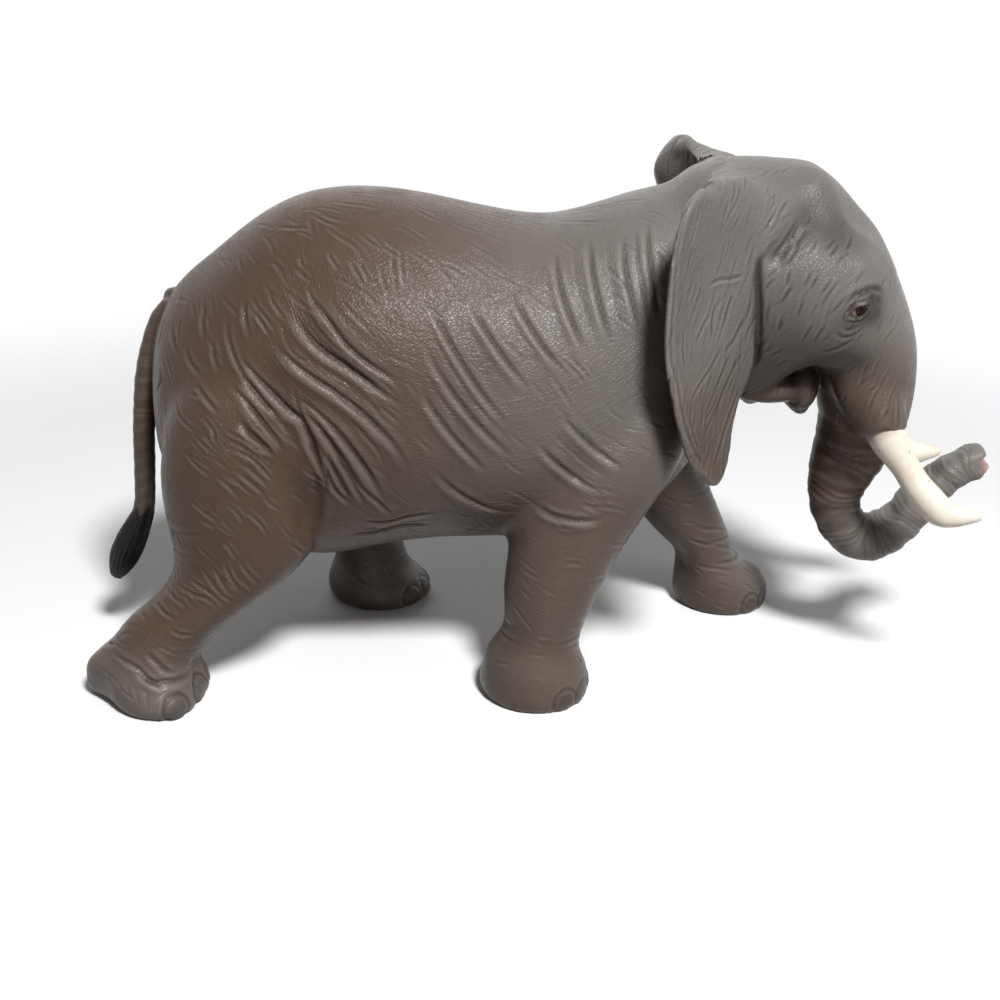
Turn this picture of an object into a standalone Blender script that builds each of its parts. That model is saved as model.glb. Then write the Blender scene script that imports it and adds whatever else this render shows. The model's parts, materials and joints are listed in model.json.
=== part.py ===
"""Toy African elephant figure, walking, built as an assembly of moulded vinyl pieces.

Metres, +Z up, the head looks along +X and the soles stand on the plane z = 0.
The body is a hollow shell in two halves. The legs, the tail and the head are let into openings of
that shell. The trunk, jaw, ears, tusks and eyes are seated in the head, which is turned a little.
"""
import math

import bmesh
import bpy
from mathutils import Matrix, Vector

# Fits
SEAM = 0.0003            # gap between two glued pieces
CUT_OVERRUN = 0.004      # how far a cutter runs past what it cuts

# Torso shell
TORSO_LENGTH = 0.1015
TORSO_HEIGHT = 0.067
TORSO_WIDTH = 0.055
BELLY_HEIGHT = 0.021     # floor to the middle of the belly
WALL = 0.0026
POST_RADIUS = 0.0034
PIN_RADIUS = 0.0018
PIN_LENGTH = 0.005

# Head, measured in its own upright plane before it is turned
HEAD_LENGTH = 0.0443
HEAD_HEIGHT = 0.0467
HEAD_WIDTH = 0.0366
HEAD_TURN = math.radians(7.0)
HEAD_ROLL = math.radians(0.8)
EYE_RADIUS = 0.0024
TUSK_PAD_RADIUS = 0.0047
TUSK_PAD_LENGTH = 0.013

# Trunk
TRUNK_DROP = 0.0224
TRUNK_REACH = 0.0223
TRUNK_THICKNESS = 0.0168
RING_DEPTH = 0.00028
TRUNK_PLUG_RADIUS = 0.0042
TRUNK_PLUG_LENGTH = 0.006
FINGER_NOTCH = 0.002     # depth of the notch between the two fingers of the tip
NOSTRIL_RADIUS = 0.0008
NOSTRIL_DEPTH = 0.003

# Tusks
TUSK_REACH = 0.0182
TUSK_DROP = 0.013
TUSK_SPLAY = 0.0048
TUSK_RADIUS = 0.0036
TUSK_PLUG_RADIUS = 0.0026
TUSK_PLUG_LENGTH = 0.006

# Lower jaw
JAW_RUN = 0.0061
JAW_DROP = 0.0111
JAW_THICKNESS = 0.0068
JAW_WIDTH = 0.014

# Ears
EAR_HEIGHT = 0.0508
RIGHT_EAR_LENGTH = 0.0153    # front edge to rear edge, along the head
RIGHT_EAR_SPREAD = 0.0155    # how far the rear edge stands out beyond the front edge
RIGHT_EAR_LIFT = 0.0002      # how far the flared rear edge is raised
LEFT_EAR_LENGTH = 0.0122
LEFT_EAR_SPREAD = 0.0205
LEFT_EAR_LIFT = 0.0048
EAR_THICKNESS = 0.0021
EAR_CUP = 0.0022         # hollow of the flap across its length

# Legs
HIND_THICKNESS = 0.0268
FORE_THICKNESS = 0.0236
HIND_STANCE = 0.0425     # across the track, sole centre to sole centre
FORE_STANCE = 0.0403
HIND_RIGHT_STRIDE = -0.018
HIND_LEFT_STRIDE = 0.022
FRONT_RIGHT_STRIDE = -0.0145
FRONT_LEFT_STRIDE = 0.0285
TOE_DEPTH = 0.0005
ANKLE_LEAN = 0.003       # how much higher the ankle is at the heel than at the toes

# Tail
TAIL_DROP = 0.0519
TAIL_REACH = 0.0136
TAIL_RADIUS = 0.0023

# Torso stations: place along the length, underside, back and half width
torso_station_shares = [
    (0.000, 0.343, 0.552, 0.220),
    (0.013, 0.224, 0.642, 0.436),
    (0.044, 0.142, 0.731, 0.618),
    (0.103, 0.075, 0.813, 0.782),
    (0.192, 0.012, 0.907, 0.909),
    (0.291, -0.020, 0.970, 0.967),
    (0.389, 0.016, 0.981, 1.000),
    (0.488, 0.042, 0.962, 1.000),
    (0.586, 0.048, 0.935, 0.982),
    (0.685, 0.054, 0.925, 0.945),
    (0.783, 0.078, 0.972, 0.873),
    (0.862, 0.119, 1.009, 0.782),
    (0.931, 0.224, 1.022, 0.636),
    (1.000, 0.403, 0.990, 0.400),
]
torso_widest_share = 0.45
torso_centre_share = 0.685      # the model's x = 0, as a share of the torso's length
neck_along_share = 0.931
neck_height_share = 0.700
post_place_shares = [(0.400, 0.740), (0.590, 0.760), (0.500, 0.200)]

# Head stations: forward, up, half depth and half width
head_station_shares = [
    (0.000, 0.021, 0.321, 0.300),
    (0.079, 0.056, 0.454, 0.437),
    (0.181, 0.086, 0.484, 0.464),
    (0.327, 0.101, 0.456, 0.492),
    (0.470, 0.084, 0.390, 0.500),
    (0.582, 0.030, 0.292, 0.481),
    (0.673, -0.039, 0.212, 0.437),
    (0.726, -0.142, 0.197, 0.372),
    (0.753, -0.260, 0.187, 0.314),
    (0.764, -0.362, 0.176, 0.257),
    (0.757, -0.440, 0.170, 0.229),
]
eye_place_shares = (0.610, 0.103, 0.425)
tusk_root_shares = (0.799, -0.381, 0.308)
jaw_root_shares = (0.366, -0.169)

# Trunk stations: forward, down, half depth and half width
trunk_station_shares = [
    (0.000, 0.000, 0.945, 0.87),
    (-0.030, 0.174, 0.87, 0.80),
    (-0.081, 0.335, 0.78, 0.74),
    (-0.121, 0.555, 0.63, 0.66),
    (-0.090, 0.740, 0.56, 0.61),
    (0.009, 0.895, 0.55, 0.59),
    (0.145, 0.972, 0.56, 0.58),
    (0.295, 0.945, 0.56, 0.57),
    (0.447, 0.805, 0.54, 0.56),
    (0.582, 0.628, 0.50, 0.53),
    (0.712, 0.462, 0.44, 0.49),
    (0.852, 0.325, 0.42, 0.46),
    (0.985, 0.240, 0.37, 0.42),
    (1.060, 0.205, 0.26, 0.36),
]

notch_ahead_share = 0.55

# Tusk stations: forward, down, outward and radius
tusk_station_shares = [
    (0.000, 0.000, 0.000, 1.000),
    (0.104, 0.231, 0.219, 0.917),
    (0.231, 0.462, 0.422, 0.819),
    (0.418, 0.792, 0.672, 0.722),
    (0.670, 1.000, 0.875, 0.528),
    (1.000, 0.954, 1.000, 0.140),
]

# Jaw stations: forward, down, half thickness and half width
jaw_station_shares = [
    (0.000, 0.000, 0.46, 0.42),
    (0.500, 0.350, 0.50, 0.46),
    (0.820, 0.650, 0.45, 0.40),
    (0.970, 0.880, 0.28, 0.27),
    (1.000, 1.000, 0.12, 0.13),
]

# Ear rows from the top down: height, front edge, rear edge along the head, then how far the
# front and the rear edge stand out
ear_row_shares = [
    (1.000, 0.760, 0.500, -0.200, 0.150),
    (0.993, 0.840, 0.350, -0.190, 0.380),
    (0.979, 0.880, 0.200, -0.170, 0.600),
    (0.951, 0.920, 0.100, -0.140, 0.770),
    (0.912, 0.940, 0.040, -0.110, 0.870),
    (0.840, 0.930, -0.025, -0.070, 0.930),
    (0.730, 0.930, -0.055, -0.030, 0.970),
    (0.626, 0.960, -0.060, 0.000, 0.990),
    (0.522, 0.990, -0.050, 0.020, 1.000),
    (0.428, 1.020, -0.010, 0.040, 0.990),
    (0.355, 1.010, 0.075, 0.060, 0.970),
    (0.282, 0.900, 0.130, 0.100, 0.940),
    (0.188, 0.850, 0.240, 0.170, 0.880),
    (0.104, 0.840, 0.350, 0.260, 0.800),
    (0.037, 0.800, 0.490, 0.370, 0.700),
    (0.000, 0.700, 0.600, 0.450, 0.580),
]
ear_hinge_row_share = 0.93      # place in these rows that lies on the hinge line of the flap
ear_hinge_share = 0.206         # hinge line, as a share of the head's length
ear_foot_share = -0.550         # lowest point of the ear, against the neck's height
ear_root_share = 0.450          # how far out the front edge is rooted in the head
ear_edge_share = 0.35

# Legs: height, sideways swing, half depth and half width, from the hip to the sole
hind_leg_shares = [
    (1.000, -0.340, 0.300, 0.243),
    (0.900, -0.160, 0.448, 0.373),
    (0.750, 0.000, 0.505, 0.418),
    (0.600, 0.100, 0.515, 0.425),
    (0.483, 0.260, 0.482, 0.403),
    (0.392, 0.420, 0.395, 0.358),
    (0.300, 0.640, 0.322, 0.326),
    (0.215, 0.820, 0.288, 0.314),
    (0.130, 0.950, 0.278, 0.325),
    (0.090, 0.985, 0.365, 0.382),
    (0.055, 1.000, 0.402, 0.402),
    (0.019, 1.000, 0.404, 0.402),
    (0.000, 1.000, 0.368, 0.380),
]
fore_leg_shares = [
    (1.000, -0.780, 0.297, 0.254),
    (0.887, -0.280, 0.445, 0.381),
    (0.742, 0.000, 0.496, 0.432),
    (0.613, 0.220, 0.485, 0.430),
    (0.484, 0.500, 0.432, 0.398),
    (0.363, 0.720, 0.373, 0.364),
    (0.260, 0.860, 0.318, 0.336),
    (0.180, 0.940, 0.278, 0.322),
    (0.125, 0.980, 0.372, 0.385),
    (0.064, 1.000, 0.424, 0.415),
    (0.019, 1.000, 0.424, 0.415),
    (0.000, 1.000, 0.394, 0.392),
]
ankle_share = 0.13
toe_zone_share = 0.11
hind_hip_shares = (0.172, 0.582, 0.600)
fore_hip_shares = (0.818, 0.600, 0.582)
hind_right_swing_shares = [0, 0, 0.06, 0.06, 0.03, 0.13, 0.40, 0.73, 0.94, 0.99, 1, 1, 0.96]
hind_left_swing_shares = [0, 0.02, 0.08, 0.15, 0.28, 0.46, 0.67, 0.85, 0.94, 0.98, 1, 1, 1]
front_right_swing_shares = [0, 0, 0.14, 0.42, 0.68, 0.83, 0.91, 0.96, 0.98, 1, 1, 1]
front_left_swing_shares = [0, 0.03, 0.12, 0.25, 0.405, 0.58, 0.735, 0.86, 0.95, 0.99, 1, 1]

# Tail stations: backward, down and radius
tail_station_shares = [
    (0.000, 0.000, 1.20),
    (0.150, 0.045, 1.22),
    (0.280, 0.125, 1.12),
    (0.400, 0.225, 1.04),
    (0.470, 0.340, 0.98),
    (0.505, 0.472, 0.96),
    (0.525, 0.645, 0.92),
    (0.566, 0.751, 0.96),
    (0.735, 0.848, 1.35),
    (0.897, 0.934, 1.30),
    (1.000, 1.000, 0.52),
]
tail_root_shares = (0.034, 0.649)
tuft_start_share = 0.740        # of the tail's drop, from where the paint is black

# Facets
SQUARE = 4
TOES_AROUND = 8                 # toes that would go round a whole foot
SHARP_EDGE = math.radians(40)
BALL_SIDES = 16
BALL_ROWS = 10
TORSO_SIDES = 28
HEAD_SIDES = 24
TRUNK_SIDES = 14
LEG_SIDES = 18
EAR_SIDES = 14
TUSK_SIDES = 12
TAIL_SIDES = 10
PLUG_SIDES = 20

X_AXIS = Vector((1, 0, 0))
Y_AXIS = Vector((0, 1, 0))
Z_AXIS = Vector((0, 0, 1))


def clear_scene():
    for old in list(bpy.data.objects):
        bpy.data.objects.remove(old)


def make_collection(name):
    collection = bpy.data.collections.new(name)
    bpy.context.scene.collection.children.link(collection)
    return collection


def make_material(name, colour, roughness):
    material = bpy.data.materials.new(name)
    material.use_nodes = True
    shader = material.node_tree.nodes["Principled BSDF"]
    shader.inputs["Base Color"].default_value = (*colour, 1)
    shader.inputs["Roughness"].default_value = roughness
    shader.inputs["Metallic"].default_value = 0
    return material


def smooth_stations(stations, steps):
    """Catmull-Rom curve through the stations, with the given number of steps between two."""
    count = len(stations)
    smooth = []
    for i in range(count - 1):
        before = stations[max(i - 1, 0)]
        start = stations[i]
        end = stations[i + 1]
        after = stations[min(i + 2, count - 1)]
        for step in range(steps):
            t = step / steps
            smooth.append(tuple(
                0.5 * (2 * b + (c - a) * t + (2 * a - 5 * b + 4 * c - d) * t * t
                       + (3 * b - a - 3 * c + d) * t ** 3)
                for a, b, c, d in zip(before, start, end, after)))
    smooth.append(tuple(stations[-1]))
    return smooth


def oval(centre, across, up, half_across, half_up, half_down, sides):
    """Closed ring of points round a centre, taller above the centre than below it if asked."""
    points = []
    for i in range(sides):
        angle = 2 * math.pi * i / sides
        rise = math.cos(angle)
        height = half_up * rise if rise > 0 else half_down * rise
        points.append(centre + across * (half_across * math.sin(angle)) + up * height)
    return points


def loft(name, rings, collection):
    """Closed body through rings that have the same number of points."""
    shape = bmesh.new()
    rows = [[shape.verts.new(point) for point in ring] for ring in rings]
    sides = len(rings[0])
    for lower, upper in zip(rows, rows[1:]):
        for i in range(sides):
            j = (i + 1) % sides
            shape.faces.new((lower[i], lower[j], upper[j], upper[i]))
    shape.faces.new(rows[0])
    shape.faces.new(rows[-1])
    return finish_shape(name, shape, collection)


def finish_shape(name, shape, collection):
    bmesh.ops.recalc_face_normals(shape, faces=shape.faces)
    mesh = bpy.data.meshes.new(name)
    shape.to_mesh(mesh)
    shape.free()
    mesh.shade_smooth()
    mesh.set_sharp_from_angle(angle=SHARP_EDGE)
    piece = bpy.data.objects.new(name, mesh)
    collection.objects.link(piece)
    return piece


def as_cutter(piece):
    piece.hide_render = True
    piece.display_type = "WIRE"
    return piece


def rod(name, start, end, radius, sides, collection):
    """Round bar between two points."""
    run = end - start
    shape = bmesh.new()
    turn = run.to_track_quat("Z", "Y").to_matrix().to_4x4()
    place = Matrix.Translation((start + end) / 2) @ turn
    bmesh.ops.create_cone(shape, cap_ends=True, segments=sides, radius1=radius, radius2=radius,
                          depth=run.length, matrix=place)
    return finish_shape(name, shape, collection)


def ball(name, centre, radius, collection):
    shape = bmesh.new()
    bmesh.ops.create_uvsphere(shape, u_segments=BALL_SIDES, v_segments=BALL_ROWS, radius=radius,
                              matrix=Matrix.Translation(centre))
    return finish_shape(name, shape, collection)


def block(name, low, high, collection):
    shape = bmesh.new()
    middle = Matrix.Translation((low + high) / 2)
    size = Matrix.Diagonal((*(high - low), 1))
    bmesh.ops.create_cube(shape, size=1, matrix=middle @ size)
    return finish_shape(name, shape, collection)


def combine(piece, other, operation):
    modifier = piece.modifiers.new(other.name, "BOOLEAN")
    modifier.operation = operation
    modifier.solver = "EXACT"
    modifier.object = other


def path_frames(centres):
    """Across and up directions of a ring at each point of a path in a plane of constant y."""
    frames = []
    for i, centre in enumerate(centres):
        ahead = centres[min(i + 1, len(centres) - 1)]
        behind = centres[max(i - 1, 0)]
        along = (ahead - behind).normalized()
        across = Y_AXIS.copy()
        up = along.cross(across).normalized()
        across = up.cross(along).normalized()
        frames.append((across, -up))
    return frames


def torso_x(share):
    return TORSO_LENGTH * (share - torso_centre_share)


def torso_z(share):
    return BELLY_HEIGHT + TORSO_HEIGHT * share


def torso_rings(inset, sides, steps):
    """Rings of the torso, drawn in on all sides by the inset."""
    rings = []
    for along, low, high, width in smooth_stations(torso_station_shares, steps):
        widest = low + torso_widest_share * (high - low)
        inner_along = inset + torso_x(0) + (TORSO_LENGTH - 2 * inset) * along
        centre = Vector((inner_along, 0, torso_z(widest)))
        half_width = TORSO_WIDTH / 2 * width - inset
        half_up = TORSO_HEIGHT * (high - widest) - inset
        half_down = TORSO_HEIGHT * (widest - low) - inset
        rings.append(oval(centre, Y_AXIS, Z_AXIS, half_width, half_up, half_down, sides))
    return rings


def leg_rings(side, hip_shares, profile, swing, thickness, stance, stride, grow):
    """Level rings of a leg from the hip, inside the torso, down to the flat sole."""
    along, height, out = hip_shares
    hip_x = torso_x(along)
    hip_z = torso_z(height)
    hip_y = out * TORSO_WIDTH / 2
    rows = [(*row, shift) for row, shift in zip(profile, swing)]
    rings = []
    for rise, splay, depth, width, shift in smooth_stations(rows, 2):
        centre = Vector((hip_x + stride * shift,
                         side * (hip_y + (stance / 2 - hip_y) * splay),
                         hip_z * rise))
        ring = oval(centre, Y_AXIS, X_AXIS, thickness * width + grow,
                    thickness * depth + grow, thickness * depth + grow, LEG_SIDES)
        ring = lean_ankle(ring, centre, rise, thickness * depth + grow)
        rings.append(scallop_toes(ring, centre, rise))
    if grow:
        rings[0] = [point + Z_AXIS * grow for point in rings[0]]
    return rings


def lean_ankle(ring, centre, rise, half_depth):
    """The ring raised at the heel and lowered at the toes, most of all at the ankle."""
    near_ankle = math.sin(math.pi * min(rise / (2 * ankle_share), 1)) ** 2
    lean = ANKLE_LEAN / 2 * near_ankle / half_depth
    return [point + Z_AXIS * (lean * (centre.x - point.x)) for point in ring]


def scallop_toes(ring, centre, rise):
    """Shallow hollows between the toes, on the front of the foot only."""
    if rise > toe_zone_share or rise == 0:
        return ring
    shaped = []
    for point in ring:
        outward = point - centre
        angle = math.atan2(outward.y, outward.x)
        front = max(0, math.cos(angle))
        hollow = TOE_DEPTH * front * (1 - math.cos(TOES_AROUND * angle)) / 2
        shaped.append(point - outward.normalized() * hollow)
    return shaped


def tail_rings(grow):
    along, height = tail_root_shares
    root = Vector((torso_x(along), 0, torso_z(height)))
    stations = smooth_stations(tail_station_shares, 2)
    centres = [root + Vector((-TAIL_REACH * back, 0, -TAIL_DROP * down))
               for back, down, _ in stations]
    rings = []
    for (_, _, radius), centre, (across, up) in zip(stations, centres, path_frames(centres)):
        size = TAIL_RADIUS * radius + grow
        rings.append(oval(centre, across, up, size, size, size, TAIL_SIDES))
    return rings


def head_point(forward_share, up_share, out_share=0):
    return Vector((HEAD_LENGTH * forward_share, HEAD_WIDTH * out_share, HEAD_HEIGHT * up_share))


def head_rings(grow):
    stations = smooth_stations(head_station_shares, 2)
    centres = [head_point(forward, up) for forward, up, _, _ in stations]
    rings = []
    for (_, _, depth, width), centre, (across, up) in zip(stations, centres, path_frames(centres)):
        half_depth = HEAD_HEIGHT * depth + grow
        rings.append(oval(centre, across, up, HEAD_WIDTH * width + grow,
                          half_depth, half_depth, HEAD_SIDES))
    return rings


def trunk_root():
    forward, up, _, _ = head_station_shares[-1]
    return head_point(forward, up) - Z_AXIS * SEAM


def trunk_centre(forward_share, down_share):
    return trunk_root() + Vector((TRUNK_REACH * forward_share, 0, -TRUNK_DROP * down_share))


def trunk_rings(grow):
    """Rings of the trunk, with a shallow groove between each pair of skin folds."""
    steps = 3
    stations = smooth_stations(trunk_station_shares, steps)
    centres = [trunk_centre(forward, down) for forward, down, _, _ in stations]
    rings = []
    for i, (centre, (across, up)) in enumerate(zip(centres, path_frames(centres))):
        depth, width = stations[i][2:]
        groove = 0 if grow else RING_DEPTH * (i % 2)
        half_depth = TRUNK_THICKNESS / 2 * depth - groove + grow
        half_width = TRUNK_THICKNESS / 2 * width - groove + grow
        rings.append(oval(centre, across, up, half_width, half_depth, half_depth, TRUNK_SIDES))
    rings[0] = [point + Z_AXIS * (grow / 2) for point in rings[0]]
    return rings


def tusk_root(side):
    forward, up, out = tusk_root_shares
    return head_point(forward, up, side * out)


def tusk_direction(side):
    """Way in which a tusk leaves its pad."""
    forward, down, out, _ = tusk_station_shares[1]
    return Vector((TUSK_REACH * forward, side * TUSK_SPLAY * out, -TUSK_DROP * down)).normalized()


def tusk_rings(side, grow):
    root = tusk_root(side) + tusk_direction(side) * (SEAM - grow)
    stations = smooth_stations(tusk_station_shares, 3)
    centres = [root + Vector((TUSK_REACH * forward, side * TUSK_SPLAY * out, -TUSK_DROP * down))
               for forward, down, out, _ in stations]
    rings = []
    for (_, _, _, radius), centre, (across, up) in zip(stations, centres, path_frames(centres)):
        size = TUSK_RADIUS * radius + grow
        rings.append(oval(centre, across, up, size, size, size, TUSK_SIDES))
    return rings


def jaw_rings(grow):
    root = head_point(*jaw_root_shares)
    stations = smooth_stations(jaw_station_shares, 2)
    centres = [root + Vector((JAW_RUN * forward, 0, -JAW_DROP * down))
               for forward, down, _, _ in stations]
    rings = []
    for (_, _, depth, width), centre, (across, up) in zip(stations, centres, path_frames(centres)):
        half_depth = JAW_THICKNESS * depth + grow
        rings.append(oval(centre, across, up, JAW_WIDTH * width + grow,
                          half_depth, half_depth, TUSK_SIDES))
    return rings


def ear_rings(side, length, spread, lift, grow):
    """Rings of the ear flap: a thin curved lens from its front edge to its rear edge."""
    foot = HEAD_HEIGHT * ear_foot_share
    start = HEAD_LENGTH * ear_hinge_share - length * ear_hinge_row_share
    root = HEAD_WIDTH * ear_root_share
    rings = []
    for height, front_at, rear_at, front_out, rear_out in ear_row_shares:
        z = foot + EAR_HEIGHT * height
        front = Vector((start + length * front_at, side * (root + spread * front_out), z))
        back = Vector((start + length * rear_at, side * (root + spread * rear_out),
                       z + lift * rear_out ** 2))
        cup = EAR_CUP * (back - front).length / math.hypot(length, spread)
        rings.append(ear_ring(front, back, side, cup, grow))
    if grow:
        rings[0] = [point + Z_AXIS * grow for point in rings[0]]
        rings[-1] = [point - Z_AXIS * grow for point in rings[-1]]
    return rings


def ear_ring(front, back, side, cup, grow):
    run = back - front
    along = run.normalized()
    outward = along.cross(Z_AXIS).normalized() * side
    half = EAR_SIDES // 2
    points = []
    for i in range(EAR_SIDES):
        angle = 2 * math.pi * i / EAR_SIDES
        share = (1 - math.cos(angle)) / 2
        thickness = EAR_THICKNESS / 2 * (ear_edge_share + (1 - ear_edge_share) * math.sin(angle) ** 2)
        face = math.copysign(1, math.sin(angle)) if i % half else 0
        bend = cup * 4 * share * (1 - share)
        end = grow * (2 * share - 1)
        points.append(front + run * share + along * end
                      + outward * (face * (thickness + grow) - bend))
    return points


def half_space(name, side, collection):
    """Block on one side of the middle plane, which keeps half a seam away from it."""
    reach = TORSO_LENGTH + CUT_OVERRUN
    far = side * (TORSO_WIDTH + CUT_OVERRUN)
    near = side * SEAM / 2
    low = Vector((-reach, min(near, far), -CUT_OVERRUN))
    high = Vector((reach, max(near, far), torso_z(1) + CUT_OVERRUN))
    return as_cutter(block(name, low, high, collection))


def post_places():
    return [(torso_x(along), torso_z(height)) for along, height in post_place_shares]


def build_cavity(collection):
    """Hollow of the torso, left standing where the locating posts are."""
    cavity = as_cutter(loft("cavity", torso_rings(WALL, TORSO_SIDES // 2, 1), collection))
    for i, (x, z) in enumerate(post_places()):
        start = Vector((x, -TORSO_WIDTH, z))
        end = Vector((x, TORSO_WIDTH, z))
        post = as_cutter(rod(f"post_{i + 1}", start, end, POST_RADIUS, PLUG_SIDES, collection))
        combine(cavity, post, "DIFFERENCE")
    return cavity


def build_torso_half(name, side, cavity, openings, parts, cutters):
    half = loft(name, torso_rings(0, TORSO_SIDES, 2), parts)
    combine(half, cavity, "DIFFERENCE")
    combine(half, half_space(f"{name}_side", side, cutters), "INTERSECT")
    for opening in openings:
        combine(half, opening, "DIFFERENCE")
    return half


def add_pins(half, cutters):
    """Pins on the right half, which stands on the -Y side."""
    for i, (x, z) in enumerate(post_places()):
        start = Vector((x, -PIN_LENGTH, z))
        end = Vector((x, PIN_LENGTH, z))
        pin = as_cutter(rod(f"pin_{i + 1}", start, end, PIN_RADIUS, PLUG_SIDES, cutters))
        combine(half, pin, "UNION")


def cut_pin_sockets(half, cutters):
    for i, (x, z) in enumerate(post_places()):
        start = Vector((x, -CUT_OVERRUN, z))
        end = Vector((x, PIN_LENGTH + SEAM, z))
        socket = as_cutter(rod(f"pin_socket_{i + 1}", start, end, PIN_RADIUS + SEAM,
                               PLUG_SIDES, cutters))
        combine(half, socket, "DIFFERENCE")


def build_leg(name, side, hip, profile, swing, thickness, stance, stride, parts, cutters):
    shape = (side, hip, profile, swing, thickness, stance, stride)
    leg = loft(name, leg_rings(*shape, 0), parts)
    opening = as_cutter(loft(f"{name}_opening", leg_rings(*shape, SEAM), cutters))
    return leg, opening


def build_head(head_seat, parts, cutters):
    """Head with its tusk pads; what is seated in it is cut out by the caller."""
    head = loft("head", head_rings(0), parts)
    opening = as_cutter(loft("head_opening", head_rings(SEAM), cutters))
    for piece in (head, opening):
        piece.parent = head_seat
    for side, word in ((-1, "right"), (1, "left")):
        start = tusk_root(side)
        end = start - tusk_direction(side) * TUSK_PAD_LENGTH
        pad = as_cutter(rod(f"tusk_pad_{word}", end, start, TUSK_PAD_RADIUS, PLUG_SIDES, cutters))
        pad.parent = head_seat
        combine(head, pad, "UNION")
    return head, opening


def seat_in_head(piece, socket, head, head_seat):
    piece.parent = head_seat
    socket.parent = head_seat
    combine(head, as_cutter(socket), "DIFFERENCE")


def build_trunk(head, head_seat, parts, cutters):
    trunk = loft("trunk", trunk_rings(0), parts)
    clearance = as_cutter(loft("trunk_clearance", trunk_rings(SEAM), cutters))
    clearance.parent = head_seat
    combine(head, clearance, "DIFFERENCE")
    root = trunk_root()
    plug_end = root + Z_AXIS * TRUNK_PLUG_LENGTH
    plug_start = root - Z_AXIS * TRUNK_PLUG_RADIUS
    plug = rod("trunk_plug", plug_start, plug_end, TRUNK_PLUG_RADIUS, PLUG_SIDES, cutters)
    as_cutter(plug).parent = head_seat
    combine(trunk, plug, "UNION")
    notch = finger_notch(cutters)
    notch.parent = head_seat
    combine(trunk, notch, "DIFFERENCE")
    for nostril in nostrils(cutters):
        nostril.parent = head_seat
        combine(trunk, nostril, "DIFFERENCE")
    socket = rod("trunk_socket", plug_start, plug_end + Z_AXIS * SEAM,
                 TRUNK_PLUG_RADIUS + SEAM, PLUG_SIDES, cutters)
    seat_in_head(trunk, socket, head, head_seat)
    return trunk


def trunk_tip():
    """End of the trunk and the way in which it points."""
    tip_forward, tip_down, _, _ = trunk_station_shares[-1]
    back_forward, back_down, _, _ = trunk_station_shares[-2]
    tip = trunk_centre(tip_forward, tip_down)
    return tip, (tip - trunk_centre(back_forward, back_down)).normalized()


def finger_notch(cutters):
    """Square bar on edge, which parts the tip into an upper and a lower finger."""
    tip, along = trunk_tip()
    middle = tip + X_AXIS * notch_ahead_share * FINGER_NOTCH
    half_run = Y_AXIS * TRUNK_THICKNESS / 2
    return as_cutter(rod("finger_notch", middle - half_run, middle + half_run, FINGER_NOTCH, SQUARE,
                         cutters))


def nostrils(cutters):
    """Two blind holes in the tip of the trunk."""
    tip, along = trunk_tip()
    gap = TRUNK_THICKNESS / 2 * trunk_station_shares[-1][-1] / 2
    holes = []
    for side, word in ((-1, "right"), (1, "left")):
        centre = tip + Y_AXIS * (side * gap)
        holes.append(as_cutter(rod(f"nostril_{word}", centre - along * NOSTRIL_DEPTH,
                                   centre + along * CUT_OVERRUN, NOSTRIL_RADIUS,
                                   TUSK_SIDES, cutters)))
    return holes


def build_tusk(name, side, head, head_seat, parts, cutters):
    tusk = loft(name, tusk_rings(side, 0), parts)
    clearance = as_cutter(loft(f"{name}_clearance", tusk_rings(side, SEAM), cutters))
    clearance.parent = head_seat
    combine(head, clearance, "DIFFERENCE")
    root = tusk_root(side)
    inward = -tusk_direction(side)
    start = root - inward * TUSK_PLUG_RADIUS
    end = root + inward * TUSK_PLUG_LENGTH
    plug = as_cutter(rod(f"{name}_plug", start, end, TUSK_PLUG_RADIUS, TUSK_SIDES, cutters))
    plug.parent = head_seat
    combine(tusk, plug, "UNION")
    socket = rod(f"{name}_socket", start, end + inward * SEAM, TUSK_PLUG_RADIUS + SEAM,
                 TUSK_SIDES, cutters)
    seat_in_head(tusk, socket, head, head_seat)
    return tusk


def build_jaw(head, head_seat, parts, cutters):
    jaw = loft("lower_jaw", jaw_rings(0), parts)
    pocket = loft("jaw_pocket", jaw_rings(SEAM), cutters)
    seat_in_head(jaw, pocket, head, head_seat)
    return jaw


def build_ear(name, side, shape, head, head_seat, parts, cutters):
    ear = loft(name, ear_rings(side, *shape, 0), parts)
    slot = loft(f"{name}_slot", ear_rings(side, *shape, SEAM), cutters)
    seat_in_head(ear, slot, head, head_seat)
    return ear


def build_eye(name, side, head, head_seat, parts, cutters):
    forward, up, out = eye_place_shares
    centre = head_point(forward, up, side * out)
    eye = ball(name, centre, EYE_RADIUS, parts)
    socket = ball(f"{name}_socket", centre, EYE_RADIUS + SEAM, cutters)
    seat_in_head(eye, socket, head, head_seat)
    return eye


def make_head_seat(parts):
    """Empty on the neck that carries the head and all that is seated in it."""
    seat = bpy.data.objects.new("head_seat", None)
    seat.location = (torso_x(neck_along_share), 0, torso_z(neck_height_share))
    seat.rotation_euler = (HEAD_ROLL, 0, -HEAD_TURN)
    parts.objects.link(seat)
    return seat


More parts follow.
